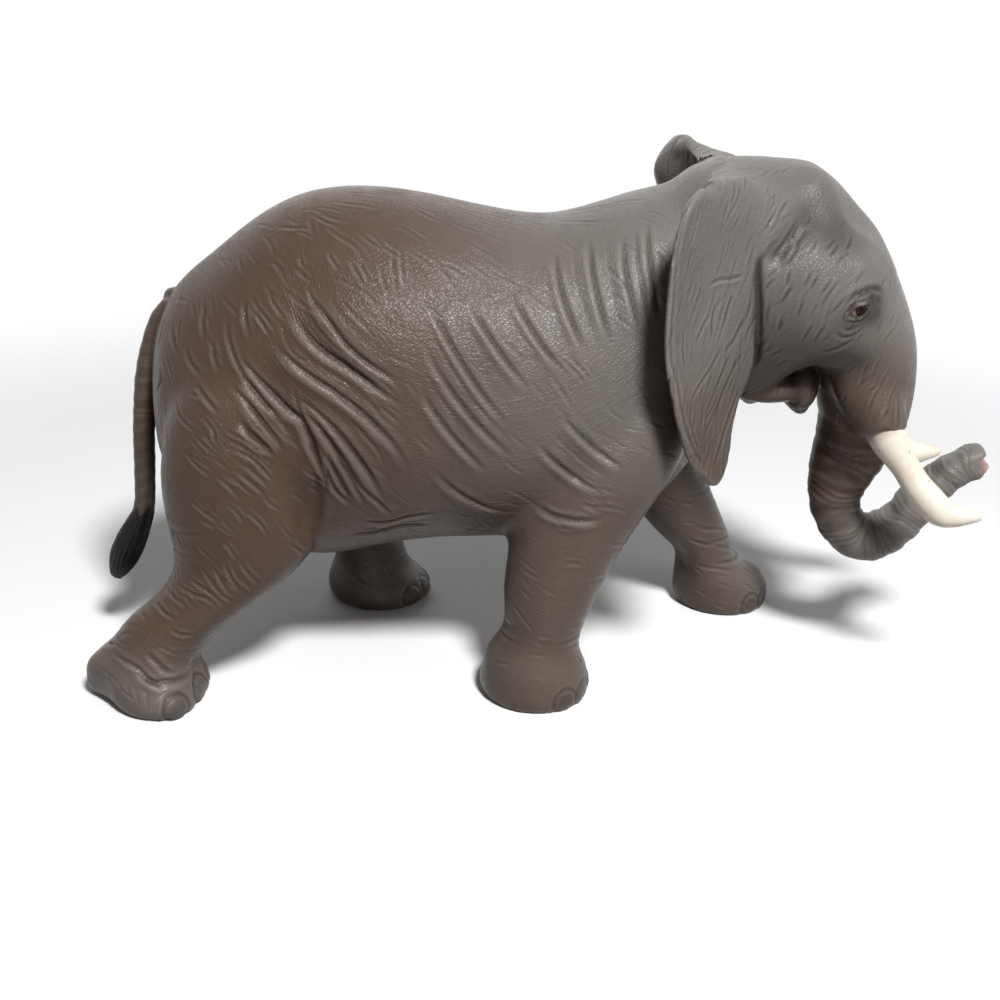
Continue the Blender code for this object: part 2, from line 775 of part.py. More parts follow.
def build_legs(parts, cutters):
    """The four legs, each with the opening that it needs in the shell."""
    hind = (hind_hip_shares, hind_leg_shares)
    fore = (fore_hip_shares, fore_leg_shares)
    plans = [
        ("leg_hind_right", -1, hind, hind_right_swing_shares, HIND_THICKNESS, HIND_STANCE,
         HIND_RIGHT_STRIDE),
        ("leg_hind_left", 1, hind, hind_left_swing_shares, HIND_THICKNESS, HIND_STANCE,
         HIND_LEFT_STRIDE),
        ("leg_front_right", -1, fore, front_right_swing_shares, FORE_THICKNESS, FORE_STANCE,
         FRONT_RIGHT_STRIDE),
        ("leg_front_left", 1, fore, front_left_swing_shares, FORE_THICKNESS, FORE_STANCE,
         FRONT_LEFT_STRIDE),
    ]
    openings = {-1: [], 1: []}
    legs = []
    for name, side, (hip, profile), swing, thickness, stance, stride in plans:
        leg, opening = build_leg(name, side, hip, profile, swing, thickness, stance, stride,
                                 parts, cutters)
        legs.append(leg)
        openings[side].append(opening)
    return legs, openings


def build_torso(openings, shared_openings, parts, cutters):
    cavity = build_cavity(cutters)
    right = build_torso_half("torso_right", -1, cavity, openings[-1] + shared_openings,
                             parts, cutters)
    left = build_torso_half("torso_left", 1, cavity, openings[1] + shared_openings,
                            parts, cutters)
    add_pins(right, cutters)
    cut_pin_sockets(left, cutters)
    return [right, left]


def build_tail(parts, cutters):
    tail = loft("tail", tail_rings(0), parts)
    opening = as_cutter(loft("tail_opening", tail_rings(SEAM), cutters))
    return tail, opening


def paint(pieces, material):
    for piece in pieces:
        own = material.copy()
        own.name = f"{piece.name}_{material.name}"
        piece.data.materials.append(own)


def paint_tuft(tail, material):
    """The end of the tail is painted black."""
    tail.data.materials.append(material)
    limit = torso_z(tail_root_shares[1]) - TAIL_DROP * tuft_start_share
    for face in tail.data.polygons:
        if face.center.z < limit:
            face.material_index = 1


def stand_on_origin(parts):
    """Put the origin at the middle of the figure's box, on the floor."""
    bpy.context.view_layer.update()
    depsgraph = bpy.context.evaluated_depsgraph_get()
    points = []
    for piece in parts.objects:
        if piece.type == "MESH":
            shape = piece.evaluated_get(depsgraph)
            points += [piece.matrix_world @ vertex.co for vertex in shape.data.vertices]
    middle_x = (min(p.x for p in points) + max(p.x for p in points)) / 2
    middle_y = (min(p.y for p in points) + max(p.y for p in points)) / 2
    for piece in bpy.data.objects:
        if piece.parent is None:
            piece.location.x -= middle_x
            piece.location.y -= middle_y


def main():
    clear_scene()
    parts = make_collection("toy_elephant_figure")
    cutters = make_collection("cutters")

    skin = make_material("grey_skin", (0.105, 0.092, 0.082), 0.45)
    horn = make_material("ivory", (0.74, 0.68, 0.56), 0.35)
    pupil = make_material("dark_eye", (0.035, 0.018, 0.012), 0.12)
    tuft = make_material("black_tuft", (0.008, 0.008, 0.009), 0.5)

    head_seat = make_head_seat(parts)
    head, head_opening = build_head(head_seat, parts, cutters)
    trunk = build_trunk(head, head_seat, parts, cutters)
    jaw = build_jaw(head, head_seat, parts, cutters)
    ear_shapes = {
        -1: (RIGHT_EAR_LENGTH, RIGHT_EAR_SPREAD, RIGHT_EAR_LIFT),
        1: (LEFT_EAR_LENGTH, LEFT_EAR_SPREAD, LEFT_EAR_LIFT),
    }
    ears = []
    tusks = []
    eyes = []
    for side, word in ((-1, "right"), (1, "left")):
        ears.append(build_ear(f"ear_{word}", side, ear_shapes[side], head, head_seat, parts,
                              cutters))
        tusks.append(build_tusk(f"tusk_{word}", side, head, head_seat, parts, cutters))
        eyes.append(build_eye(f"eye_{word}", side, head, head_seat, parts, cutters))

    legs, leg_openings = build_legs(parts, cutters)
    tail, tail_opening = build_tail(parts, cutters)
    torso = build_torso(leg_openings, [head_opening, tail_opening], parts, cutters)

    paint([head, trunk, jaw, tail, *ears, *legs, *torso], skin)
    paint(tusks, horn)
    paint(eyes, pupil)
    paint_tuft(tail, tuft)
    stand_on_origin(parts)


main()
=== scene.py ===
"""Looks of the toy African elephant figure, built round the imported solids.

Metres, +Z up, the head looks along +X. The grey vinyl skin is one sculpted surface that is grown
over all the solids, carved with folds and wrinkles, and then parted along the seams of the solids.
Tusks and eyes are pieces of their own.
"""
import json
import math

import bmesh
import bpy
import numpy as np
from mathutils import Matrix, Vector
from mathutils.bvhtree import BVHTree
from mathutils.kdtree import KDTree

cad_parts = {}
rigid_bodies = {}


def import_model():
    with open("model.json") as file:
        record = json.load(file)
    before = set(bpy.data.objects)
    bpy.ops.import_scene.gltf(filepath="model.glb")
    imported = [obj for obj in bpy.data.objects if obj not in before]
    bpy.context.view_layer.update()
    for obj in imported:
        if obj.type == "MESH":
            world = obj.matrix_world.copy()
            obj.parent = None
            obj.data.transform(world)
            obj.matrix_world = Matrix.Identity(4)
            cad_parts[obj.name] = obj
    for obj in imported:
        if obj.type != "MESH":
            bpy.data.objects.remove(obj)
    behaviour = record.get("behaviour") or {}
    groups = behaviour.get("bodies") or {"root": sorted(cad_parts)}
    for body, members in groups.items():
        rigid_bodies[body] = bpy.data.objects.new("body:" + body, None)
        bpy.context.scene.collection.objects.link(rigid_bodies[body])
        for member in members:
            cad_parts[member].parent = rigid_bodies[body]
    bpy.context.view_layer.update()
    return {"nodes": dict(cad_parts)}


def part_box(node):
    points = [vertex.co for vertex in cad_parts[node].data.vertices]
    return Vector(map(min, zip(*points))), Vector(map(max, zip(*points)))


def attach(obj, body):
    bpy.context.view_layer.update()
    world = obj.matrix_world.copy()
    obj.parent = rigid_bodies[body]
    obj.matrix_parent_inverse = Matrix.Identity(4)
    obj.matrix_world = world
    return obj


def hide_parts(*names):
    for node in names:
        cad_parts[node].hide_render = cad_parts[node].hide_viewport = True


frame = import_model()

nodes = frame["nodes"]

MM = 0.001

# The photograph's camera
CAMERA_PLACE = Vector((-25.70, -236.25, 120.13)) * MM
CAMERA_RIGHT = Vector((0.9977, -0.0590, 0.0418))
CAMERA_UP = Vector((-0.0167, 0.3634, 0.9317))
CAMERA_LENS = 47.88
SENSOR_WIDTH = 36.0
PHOTO_SIZE = 1000

# The head's own frame
HEAD_PIVOT = Vector((24.2, -2.5, 67.9)) * MM
HEAD_TURN = math.radians(7.0)
HEAD_ROLL = math.radians(0.8)
EAR_HINGE = 9.1 * MM             # place along the head
EAR_ROOT = 16.5 * MM             # place out from the head's middle
LEFT_EAR_LENGTH_RATIO = 0.80     # left ear against right ear, along and across
LEFT_EAR_SPREAD_RATIO = 1.32

# Skin surface
GROW = 0.2 * MM
MERGE_DISTANCE = 0.002 * MM
QUAD_FACE_ANGLE = math.radians(25)
QUAD_SHAPE_ANGLE = math.radians(60)
CREASE_ANGLE = math.radians(50)
COARSE_CELL = 0.9 * MM
FINE_CELL = 0.338 * MM
COARSE_ROUNDS = 24
FINE_ROUNDS = 8
SMOOTH_WEIGHT = 0.5
BORDER_ROUNDS = 24
BORDER_WEIGHT = 0.6

SKIN_NODES = ["torso_right", "torso_left", "head", "trunk", "lower_jaw", "ear_right", "ear_left",
              "leg_front_right", "leg_front_left", "leg_hind_right", "leg_hind_left", "tail"]
BROAD_NODES = ["torso_right", "torso_left", "head", "leg_front_right", "leg_front_left",
               "leg_hind_right", "leg_hind_left"]
EYES = {-1: "eye_right", 1: "eye_left"}
TUSKS = {-1: "tusk_right", 1: "tusk_left"}
LEGS = ["leg_hind_right", "leg_hind_left", "leg_front_right", "leg_front_left"]


def camera_axes():
    right = CAMERA_RIGHT.normalized()
    back = right.cross(CAMERA_UP).normalized()
    up = back.cross(right)
    return right, up, back


def make_camera():
    right, up, back = camera_axes()
    data = bpy.data.cameras.new("photo_camera")
    data.lens = CAMERA_LENS
    data.sensor_width = SENSOR_WIDTH
    data.sensor_fit = "HORIZONTAL"
    data.clip_start = 1 * MM
    data.clip_end = 10
    camera = bpy.data.objects.new("photo_camera", data)
    turn = Matrix((right, up, back)).transposed().to_4x4()
    camera.matrix_world = Matrix.Translation(CAMERA_PLACE) @ turn
    bpy.context.scene.collection.objects.link(camera)
    bpy.context.scene.camera = camera


def head_matrix():
    turn = Matrix.Rotation(-HEAD_TURN, 4, "Z") @ Matrix.Rotation(HEAD_ROLL, 4, "X")
    return Matrix.Translation(HEAD_PIVOT) @ turn


HEAD = head_matrix()
HEAD_BACK = HEAD.inverted()


def link(piece):
    bpy.context.scene.collection.objects.link(piece)
    return piece


def new_piece(name, mesh):
    return link(bpy.data.objects.new(name, mesh))


def get_array(items, field, width, kind=np.float32):
    values = np.empty(len(items) * width, dtype=kind)
    items.foreach_get(field, values)
    return values.reshape(-1, width) if width > 1 else values


def mesh_from(shape, name):
    """The bmesh as a mesh; the bmesh itself is used up."""
    mesh = bpy.data.meshes.new(name)
    shape.to_mesh(mesh)
    shape.free()
    return mesh


def ray_tree(piece):
    bpy.context.view_layer.update()
    return BVHTree.FromObject(piece, bpy.context.evaluated_depsgraph_get())


def in_head_frame(points):
    """Points in the head's own frame, in millimetres."""
    to_head = np.array(HEAD_BACK)
    return (points @ to_head[:3, :3].T + to_head[:3, 3]) / MM


def in_head_place(place, side):
    """A place of the head's left half, in millimetres, put on its side of the figure."""
    return HEAD @ (Vector((place[0], side * place[1], place[2])) * MM)


def belongs_to(owner, name):
    return owner == SKIN_NODES.index(name)


def smooth_step(values, low, high):
    t = np.clip((values - low) / (high - low), 0, 1)
    return t * t * (3 - 2 * t)


def set_values(mesh, name, values):
    """Keeps values from 0 to 1 as an attribute that the paint reads."""
    made = mesh.attributes.new(name, "FLOAT", "POINT")
    made.data.foreach_set("value", np.clip(values, 0, 1).astype(np.float32))


def grown_copy(node, smooth_levels):
    """Copy of a node as quads, subdivided and grown a little, so that it meets its neighbours."""
    shape = bmesh.new()
    shape.from_mesh(nodes[node].data)
    bmesh.ops.remove_doubles(shape, verts=shape.verts, dist=MERGE_DISTANCE)
    bmesh.ops.join_triangles(shape, faces=shape.faces, angle_face_threshold=QUAD_FACE_ANGLE,
                             angle_shape_threshold=QUAD_SHAPE_ANGLE)
    crease = shape.edges.layers.float.new("crease_edge")
    for edge in shape.edges:
        if not edge.is_manifold or edge.calc_face_angle(0) > CREASE_ANGLE:
            edge[crease] = 1
    piece = new_piece(f"{node}_grown", mesh_from(shape, f"{node}_grown"))
    subdivide = piece.modifiers.new("subdivide", "SUBSURF")
    subdivide.levels = smooth_levels
    subdivide.render_levels = smooth_levels
    grown = baked(piece)
    points = get_array(grown.vertices, "co", 3)
    points += get_array(grown.vertex_normals, "vector", 3) * GROW
    grown.vertices.foreach_set("co", points.ravel())
    return new_piece(f"{node}_skin", grown)


def baked(piece):
    """The piece's mesh after its modifiers; the piece itself is removed."""
    bpy.context.view_layer.update()
    evaluated = piece.evaluated_get(bpy.context.evaluated_depsgraph_get())
    mesh = bpy.data.meshes.new_from_object(evaluated)
    bpy.data.objects.remove(piece)
    return mesh


def joined(pieces):
    """One object from all of them; the pieces themselves are used up."""
    with bpy.context.temp_override(active_object=pieces[0], selected_editable_objects=pieces):
        bpy.ops.object.join()
    return pieces[0]


def remeshed(piece, cell):
    remesh = piece.modifiers.new("remesh", "REMESH")
    remesh.mode = "VOXEL"
    remesh.voxel_size = cell
    remesh.adaptivity = 0
    return baked(piece)


class Surface:
    """Points and edges of a mesh as arrays, for smoothing and sculpting."""

    def __init__(self, mesh):
        self.mesh = mesh
        self.points = get_array(mesh.vertices, "co", 3).astype(float)
        edges = get_array(mesh.edges, "vertices", 2, np.int32)
        self.start = np.concatenate((edges[:, 0], edges[:, 1]))
        self.end = np.concatenate((edges[:, 1], edges[:, 0]))
        self.degree = np.maximum(np.bincount(self.start, minlength=len(self.points)), 1)

    def mean_of_neighbours(self, values):
        columns = [np.bincount(self.start, weights=values[self.end, i], minlength=len(values))
                   for i in range(values.shape[1])]
        return np.stack(columns, axis=1) / self.degree[:, None]

    def smooth(self, values, times, weight):
        for _ in range(times):
            values = values + weight * (self.mean_of_neighbours(values) - values)
        return values

    def write(self):
        self.mesh.vertices.foreach_set("co", self.points.ravel())
        self.mesh.update()

    def normals(self):
        self.write()
        return get_array(self.mesh.vertex_normals, "vector", 3).astype(float)


def copy_of(piece):
    return new_piece(f"{piece.name}_copy", piece.data.copy())


def build_base_skin(grown):
    """One closed surface over all the grey pieces, smooth, before any fold is carved."""
    broad = joined([copy_of(grown[name]) for name in BROAD_NODES]
                   + [grown_copy(name, 1) for name in EYES.values()])
    coarse = remeshed(broad, COARSE_CELL)
    body = Surface(coarse)
    once = body.smooth(body.points, COARSE_ROUNDS, SMOOTH_WEIGHT)
    body.points = once + body.smooth(body.points - once, COARSE_ROUNDS, SMOOTH_WEIGHT)
    body.write()
    body_piece = new_piece("broad_body", coarse)
    thin = [copy_of(grown[name]) for name in SKIN_NODES if name not in BROAD_NODES]
    webs = [ear_web(side, [body_piece] + thin) for side in EYES]
    fine = joined([body_piece] + thin + webs + throat_fillers() + tail_fillers())
    mesh = remeshed(fine, FINE_CELL)
    skin = Surface(mesh)
    skin.points = skin.smooth(skin.points, FINE_ROUNDS, SMOOTH_WEIGHT)
    skin.write()
    soften_near_web(skin)
    return skin


def soften(skin, middle, inner, outer, times):
    """Smooths the skin round a point."""
    away = np.linalg.norm(skin.points - np.array(middle), axis=1)
    near = np.nonzero(away < outer)[0]
    weight = SOFT_WEIGHT * (1 - smooth_step(away[near], inner, outer))[:, None]
    inside = np.zeros(len(skin.points), dtype=bool)
    inside[near] = True
    used = inside[skin.start]
    start, end = skin.start[used], skin.end[used]
    place = np.zeros(len(skin.points), dtype=int)
    place[near] = np.arange(len(near))
    for _ in range(times):
        mean = np.stack([np.bincount(place[start], weights=skin.points[end, i], minlength=len(near))
                         for i in range(3)], axis=1) / skin.degree[near][:, None]
        skin.points[near] += weight * (mean - skin.points[near])


def soften_near_web(skin):
    """Smooths the skin where the ears run into the head, and at the corners of that web."""
    line = [on_head_plane(u, v, -WEB_OUT) for u, v in WEB_OUTLINE]
    piece = new_piece("soften_base", skin.mesh)
    tree = ray_tree(piece)
    bpy.data.objects.remove(piece)
    for side in EYES:
        points = [HEAD @ Vector((point.x, point.y * -side, point.z)) for point in line]
        middle = Vector(np.mean([np.array(point) for point in points], axis=0))
        reach = max((middle - point).length for point in points)
        soften(skin, middle, WEB_SOFT_SHARES[0] * reach, WEB_SOFT_SHARES[1] * reach, WEB_SOFT_ROUNDS)
        for u, v, radius in CORNERS:
            place = tree.ray_cast(*ray_from(side, u, v))[0]
            if place is not None:
                inner, outer = (share * radius * MM for share in CORNER_SOFT_SHARES)
                soften(skin, place, inner, outer, CORNER_SOFT_ROUNDS)
    skin.write()


# Skin that bridges the ears to the head, and the throat to the jaw

WEB_OUTLINE = [(706, 186), (714, 172), (728, 163), (750, 158), (784, 164), (808, 184), (808, 208),
               (794, 236), (772, 262), (758, 268), (753, 250), (754, 226), (753, 206), (748, 192),
               (736, 184), (720, 184), (711, 190)]
WEB_STEP = 2.5                   # pixels
WEB_MARGIN = 10                  # pixels round the outline
WEB_RELAX_ROUNDS = 600
WEB_OUT = 17 * MM                # how far the web stands out from the head's middle
WEB_SINK = 0.35 * MM
WEB_THICK = 4.0 * MM
SOFT_WEIGHT = 0.6
WEB_SOFT_SHARES = (0.85, 1.25)   # of the web's reach
WEB_SOFT_ROUNDS = 70
CORNERS = [(768, 259, 2.4), (763, 268, 1.6), (711, 182, 2.4)]    # place and radius, mm
CORNER_SOFT_SHARES = (0.6, 1.3)  # of the corner's radius
CORNER_SOFT_ROUNDS = 60
THROAT_FILLERS = [(764, 385, 5.5, (7.0, 5.5, 2.9)),    # place, out from the middle, half sizes; mm
                  (800, 386, 4.6, (3.2, 4.8, 4.4))]
TAIL_FILLERS = [(172, 297), (164, 313), (158, 332), (153, 352), (150, 374), (148, 396)]
TAIL_FILLER_SIZE = (1.6, 2.2, 1.9)


def inside_outline(outline, points):
    """Which points lie inside a closed outline."""
    inside = np.zeros(len(points), dtype=bool)
    for (x0, y0), (x1, y1) in zip(outline, outline[1:] + outline[:1]):
        crosses = (y0 > points[:, 1]) != (y1 > points[:, 1])
        edge = (x1 - x0) * (points[:, 1] - y0) / ((y1 - y0) or 1) + x0
        inside ^= crosses & (points[:, 0] < edge)
    return inside


def ray_from(side, u, v):
    """The photograph's ray to a pixel, or its mirror image about the head's middle."""
    direction = photo_ray(u, v)
    if side < 0:
        return CAMERA_PLACE, direction
    start = mirror_head(CAMERA_PLACE)
    return start, (mirror_head(CAMERA_PLACE + direction) - start).normalized()


def ear_web(side, pieces):
    """Slab whose outer face runs smoothly from the ear's front edge over to the head."""
    bpy.context.view_layer.update()
    state = bpy.context.evaluated_depsgraph_get()
    trees = [BVHTree.FromObject(piece, state) for piece in pieces]
    low = np.array(WEB_OUTLINE).min(0) - WEB_MARGIN
    high = np.array(WEB_OUTLINE).max(0) + WEB_MARGIN
    columns = np.arange(low[0], high[0], WEB_STEP)
    rows = np.arange(low[1], high[1], WEB_STEP)
    depth = np.full((len(rows), len(columns)), np.nan)
    rays = []
    for i, v in enumerate(rows):
        for j, u in enumerate(columns):
            start, direction = ray_from(side, u, v)
            rays.append(direction)
            reach = [tree.ray_cast(start, direction)[3] for tree in trees]
            reach = [value for value in reach if value is not None]
            if reach:
                depth[i, j] = min(reach)
    grid = np.stack(np.meshgrid(columns, rows), axis=-1).reshape(-1, 2)
    free = inside_outline(WEB_OUTLINE, grid).reshape(depth.shape)
    missing = np.isnan(depth)
    filled = np.where(missing, np.nanmean(depth), depth)
    for _ in range(WEB_RELAX_ROUNDS):
        mean = (np.roll(filled, 1, 0) + np.roll(filled, -1, 0)
                + np.roll(filled, 1, 1) + np.roll(filled, -1, 1)) / 4
        filled = np.where(free | missing, mean, filled)
    sunk = filled + np.where(free, 0, WEB_SINK)
    near = free.copy()
    for axis in (0, 1):
        near |= np.roll(near, 1, axis) | np.roll(near, -1, axis)
    keep = (near & ~missing).ravel()
    start, _ = ray_from(side, 0, 0)
    shape = bmesh.new()
    bmesh.ops.create_grid(shape, x_segments=len(columns) - 1, y_segments=len(rows) - 1, size=1)
    order = sorted(shape.verts, key=lambda vert: (round(vert.co.y, 5), round(vert.co.x, 5)))
    for vert, reach, direction in zip(order, sunk.ravel(), rays):
        vert.co = start + direction * reach
    bmesh.ops.delete(shape, geom=[vert for vert, kept in zip(order, keep) if not kept],
                     context="VERTS")
    inward = Vector((0, -side, -0.2)).normalized() * WEB_THICK
    back = bmesh.ops.extrude_face_region(shape, geom=shape.faces[:])["geom"]
    bmesh.ops.translate(shape, vec=inward,
                        verts=[item for item in back if isinstance(item, bmesh.types.BMVert)])
    bmesh.ops.recalc_face_normals(shape, faces=shape.faces)
    return new_piece("ear_web", mesh_from(shape, "ear_web"))


def on_head_plane(u, v, out):
    """Where a pixel's ray meets the plane this far out from the head's middle."""
    start = HEAD_BACK @ CAMERA_PLACE
    way = (HEAD_BACK @ (CAMERA_PLACE + photo_ray(u, v))) - start
    return start + way * ((out - start.y) / way.y)


def throat_fillers():
    made = []
    for side in EYES:
        for u, v, out, half_sizes in THROAT_FILLERS:
            middle = on_head_plane(u, v, -out * MM)
            middle.y *= -side
            made.append(ellipsoid("throat_filler", HEAD @ Matrix.Translation(middle), half_sizes))
    return made


def tail_fillers():
    """The tail lies against the rump without a gap."""
    made = []
    for u, v in TAIL_FILLERS:
        way = photo_ray(u, v)
        middle = CAMERA_PLACE - way * (CAMERA_PLACE.y / way.y)
        made.append(ellipsoid("tail_filler", Matrix.Translation(middle), TAIL_FILLER_SIZE))
    return made


def ellipsoid(name, place, half_sizes):
    shape = bmesh.new()
    bmesh.ops.create_uvsphere(shape, u_segments=32, v_segments=20, radius=1)
    bmesh.ops.scale(shape, vec=Vector(half_sizes) * MM, verts=shape.verts)
    bmesh.ops.transform(shape, matrix=place, verts=shape.verts)
    return new_piece(name, mesh_from(shape, name))


# Carving

LINE_STEP = 2.5                  # pixels between the points of a carved line
STRETCH = 8                      # steps of a path that are looked at together
SAME_PLACE = 1.2                 # of the radius; a mirrored pull nearer than this is left out
HEAD_FROM = 750                  # pixels; what lies right of it is mirrored about the head


def smooth_line(points, spacing):
    """Points along a Catmull-Rom curve through the given ones, about the spacing apart."""
    points = np.array(points, dtype=float)
    padded = np.vstack((2 * points[0] - points[1], points, 2 * points[-1] - points[-2]))
    line = []
    for a, b, c, d in zip(padded, padded[1:], padded[2:], padded[3:]):
        steps = max(2, int(np.linalg.norm(c - b) / spacing))
        t = (np.arange(steps) / steps)[:, None]
        line.append(0.5 * (2 * b + (c - a) * t + (2 * a - 5 * b + 4 * c - d) * t ** 2
                           + (3 * b - a - 3 * c + d) * t ** 3))
    line.append(points[-1:])
    return np.vstack(line)


def photo_ray(u, v):
    right, up, back = camera_axes()
    focal = CAMERA_LENS / SENSOR_WIDTH * PHOTO_SIZE
    across = (u - PHOTO_SIZE / 2) / focal
    rise = (PHOTO_SIZE / 2 - v) / focal
    return (right * across + up * rise - back).normalized()


class Sculptor:
    """Adds up the height of all folds on the base skin, and where painted shade darkens them."""

    def __init__(self, skin):
        self.points = skin.points
        self.normals = skin.normals()
        self.height = np.zeros(len(self.points))
        self.shift = np.zeros((len(self.points), 3))
        self.crease = np.zeros(len(self.points))
        # worn paint and painted highlight on raised skin
        self.wear_and_highlight = np.zeros(len(self.points))
        self.order = np.argsort(self.points[:, 0])
        self.sorted = self.points[self.order]
        piece = new_piece("carving_base", skin.mesh)
        self.tree = ray_tree(piece)
        bpy.data.objects.remove(piece)

    def rows_in_box(self, low, high):
        first = np.searchsorted(self.sorted[:, 0], low[0])
        last = np.searchsorted(self.sorted[:, 0], high[0])
        part = self.sorted[first:last]
        inside = ((part[:, 1] > low[1]) & (part[:, 1] < high[1])
                  & (part[:, 2] > low[2]) & (part[:, 2] < high[2]))
        return self.order[first:last][inside]

    def cast(self, origin, direction):
        place, normal, _, _ = self.tree.ray_cast(origin, direction)
        return place, normal

    def from_photo(self, line):
        """Places and normals on the skin under a line of photograph pixels."""
        line = smooth_line(line, LINE_STEP)
        hits = [self.cast(CAMERA_PLACE, photo_ray(u, v)) for u, v in line]
        return self.kept(hits)

    def kept(self, hits):
        hits = [hit for hit in hits if hit[0] is not None]
        if len(hits) < 2:
            return None
        return np.array([hit[0] for hit in hits]), np.array([hit[1] for hit in hits])

    def moved(self, path, move):
        """The path put elsewhere on the skin by a function of a point."""
        hits = []
        for point in path[0]:
            place, normal, _, _ = self.tree.find_nearest(move(Vector(point)))
            hits.append((place, normal))
        return self.kept(hits)

    def nearest_on_path(self, path, reach):
        """Rows of points near the path, with distance, side, place along and normal there."""
        places, normals = path
        steps = np.linalg.norm(np.diff(places, axis=0), axis=1)
        steps = np.maximum(steps, 1e-7)
        runs = np.concatenate(([0], np.cumsum(steps)))
        count = len(places) - 1
        rows_all, distance_all, side_all, along_all, facing_all = [], [], [], [], []
        for first in range(0, count, STRETCH):
            last = min(first + STRETCH, count)
            a = places[first:last]
            run = places[first + 1:last + 1] - a
            around = places[first:last + 1]
            rows = self.rows_in_box(around.min(0) - reach, around.max(0) + reach)
            if not len(rows):
                continue
            away = self.points[rows][:, None, :] - a[None]
            t = (away * run).sum(2) / (steps[first:last] ** 2)
            t = np.clip(t, 0, 1)
            gap = away - t[..., None] * run
            distance = np.sqrt((gap ** 2).sum(2))
            closest = distance.argmin(1)
            each = np.arange(len(rows))
            across = np.cross(run[closest], normals[first:last][closest])
            rows_all.append(rows)
            distance_all.append(distance[each, closest])
            side_all.append(np.sign((across * gap[each, closest]).sum(1)))
            along_all.append(runs[first + closest] + t[each, closest] * steps[first + closest])
            facing_all.append((self.normals[rows] * normals[first:last][closest]).sum(1))
        if not rows_all:
            return None
        rows = np.concatenate(rows_all)
        distance = np.concatenate(distance_all)
        order = np.lexsort((distance, rows))
        rows = rows[order]
        first = np.ones(len(rows), dtype=bool)
        first[1:] = rows[1:] != rows[:-1]
        pick = order[first]
        return (rows[first], distance[pick], np.concatenate(side_all)[pick],
                np.concatenate(along_all)[pick] / runs[-1], np.concatenate(facing_all)[pick])

    def fold(self, path, depth, width, ridge=0.45, taper=0.25, dark=1.0, spread=1.0):
        """Groove with a soft ridge beside it, which spread makes broader; its ends run out; dark
        paints shade along the groove.
        """
        if path is None:
            return
        found = self.nearest_on_path(path, 3.8 * width * spread)
        if found is None:
            return
        rows, distance, side, along, facing = found
        ends = np.clip(np.minimum(along, 1 - along) / taper, 0, 1)
        strength = ends * ends * (3 - 2 * ends) * np.clip(facing * 4 - 0.8, 0, 1)
        x = distance / width
        groove = np.exp(-1.3 * x * x)
        crest = np.exp(-((x - 0.6 - 1.3 * spread) / spread) ** 2)
        beside = np.clip(x / 1.2, 0, 1) * crest * np.where(side > 0, 1.0, 0.35)
        self.height[rows] += depth * strength * (ridge * beside - groove)
        self.crease[rows] += dark * strength * np.exp(-1.1 * x * x)

    def swell(self, centre, normal, radius, height, dark=0.0):
        """Round bump or hollow, with painted shade where dark is given."""
        reach = 2.4 * radius
        centre = np.array(centre)
        rows = self.rows_in_box(centre - reach, centre + reach)
        x = np.linalg.norm(self.points[rows] - centre, axis=1) / radius
        facing = np.clip((self.normals[rows] * np.array(normal)).sum(1) * 3 - 0.3, 0, 1)
        mask = np.exp(-x * x) * facing
        self.height[rows] += height * mask
        self.crease[rows] += dark * mask

    def pull(self, centre, radius, move):
        """Soft move of all the skin near a point."""
        reach = 2.6 * radius
        centre = np.array(centre)
        rows = self.rows_in_box(centre - reach, centre + reach)
        x = np.linalg.norm(self.points[rows] - centre, axis=1) / radius
        self.shift[rows] += np.exp(-x * x)[:, None] * np.array(move)


def mirror_body(point):
    return Vector((point.x, -point.y, point.z))


def mirror_head(point):
    local = HEAD_BACK @ point
    return HEAD @ Vector((local.x, -local.y, local.z))


def mirror_ear(point):
    local = HEAD_BACK @ point
    along = EAR_HINGE + (local.x - EAR_HINGE) * LEFT_EAR_LENGTH_RATIO
    out = EAR_ROOT + (abs(local.y) - EAR_ROOT) * LEFT_EAR_SPREAD_RATIO
    return HEAD @ Vector((along, out, local.z))


class LegAxis:
    """Middle line of a leg, from the rings of its solid."""

    def __init__(self, node):
        points = get_array(nodes[node].data.vertices, "co", 3)
        levels = np.linspace(0, points[:, 2].max(), 24)
        middles = []
        for level in levels:
            near = points[np.abs(points[:, 2] - level) < 2.2 * MM]
            middles.append((near[:, :2].min(0) + near[:, :2].max(0)) / 2)
        self.levels = levels
        self.middles = np.array(middles)

    def at(self, z):
        x = np.interp(z, self.levels, self.middles[:, 0])
        y = np.interp(z, self.levels, self.middles[:, 1])
        return Vector((x, y, z))


def leg_to_leg(source, target, mirrored):
    def move(point):
        away = point - source.at(point.z)
        if mirrored:
            away.y = -away.y
        return target.at(point.z) + away
    return move


# Folds read from the photograph, as lines of its pixels

FLANK_FOLDS = [
    [(307, 288), (316, 302), (327, 317), (337, 331), (350, 347), (366, 361), (384, 372), (408, 384)],
    [(288, 304), (297, 319), (310, 337), (325, 351), (340, 361), (362, 376), (381, 391), (408, 408)],
    [(270, 334), (282, 350), (300, 367), (318, 380), (338, 393), (360, 410), (376, 425), (392, 441),
     (400, 452), (414, 474)],
    [(292, 392), (316, 410), (338, 431), (355, 452), (374, 480), (388, 506)],
    [(301, 406), (316, 422), (331, 440), (341, 455), (353, 466)],
    [(240, 354), (249, 368), (262, 382), (276, 397), (289, 410), (303, 422), (314, 446), (322, 471),
     (329, 486)],
    [(240, 373), (254, 389), (268, 406), (283, 420)],
    [(240, 394), (256, 412), (270, 430), (283, 447), (288, 455)],
    [(240, 419), (251, 433), (262, 443), (277, 454)],
]
FLANK_VALLEYS = [
    [(292, 296), (312, 330), (344, 366), (384, 398)],
    [(244, 350), (272, 392), (300, 428), (318, 474)],
]
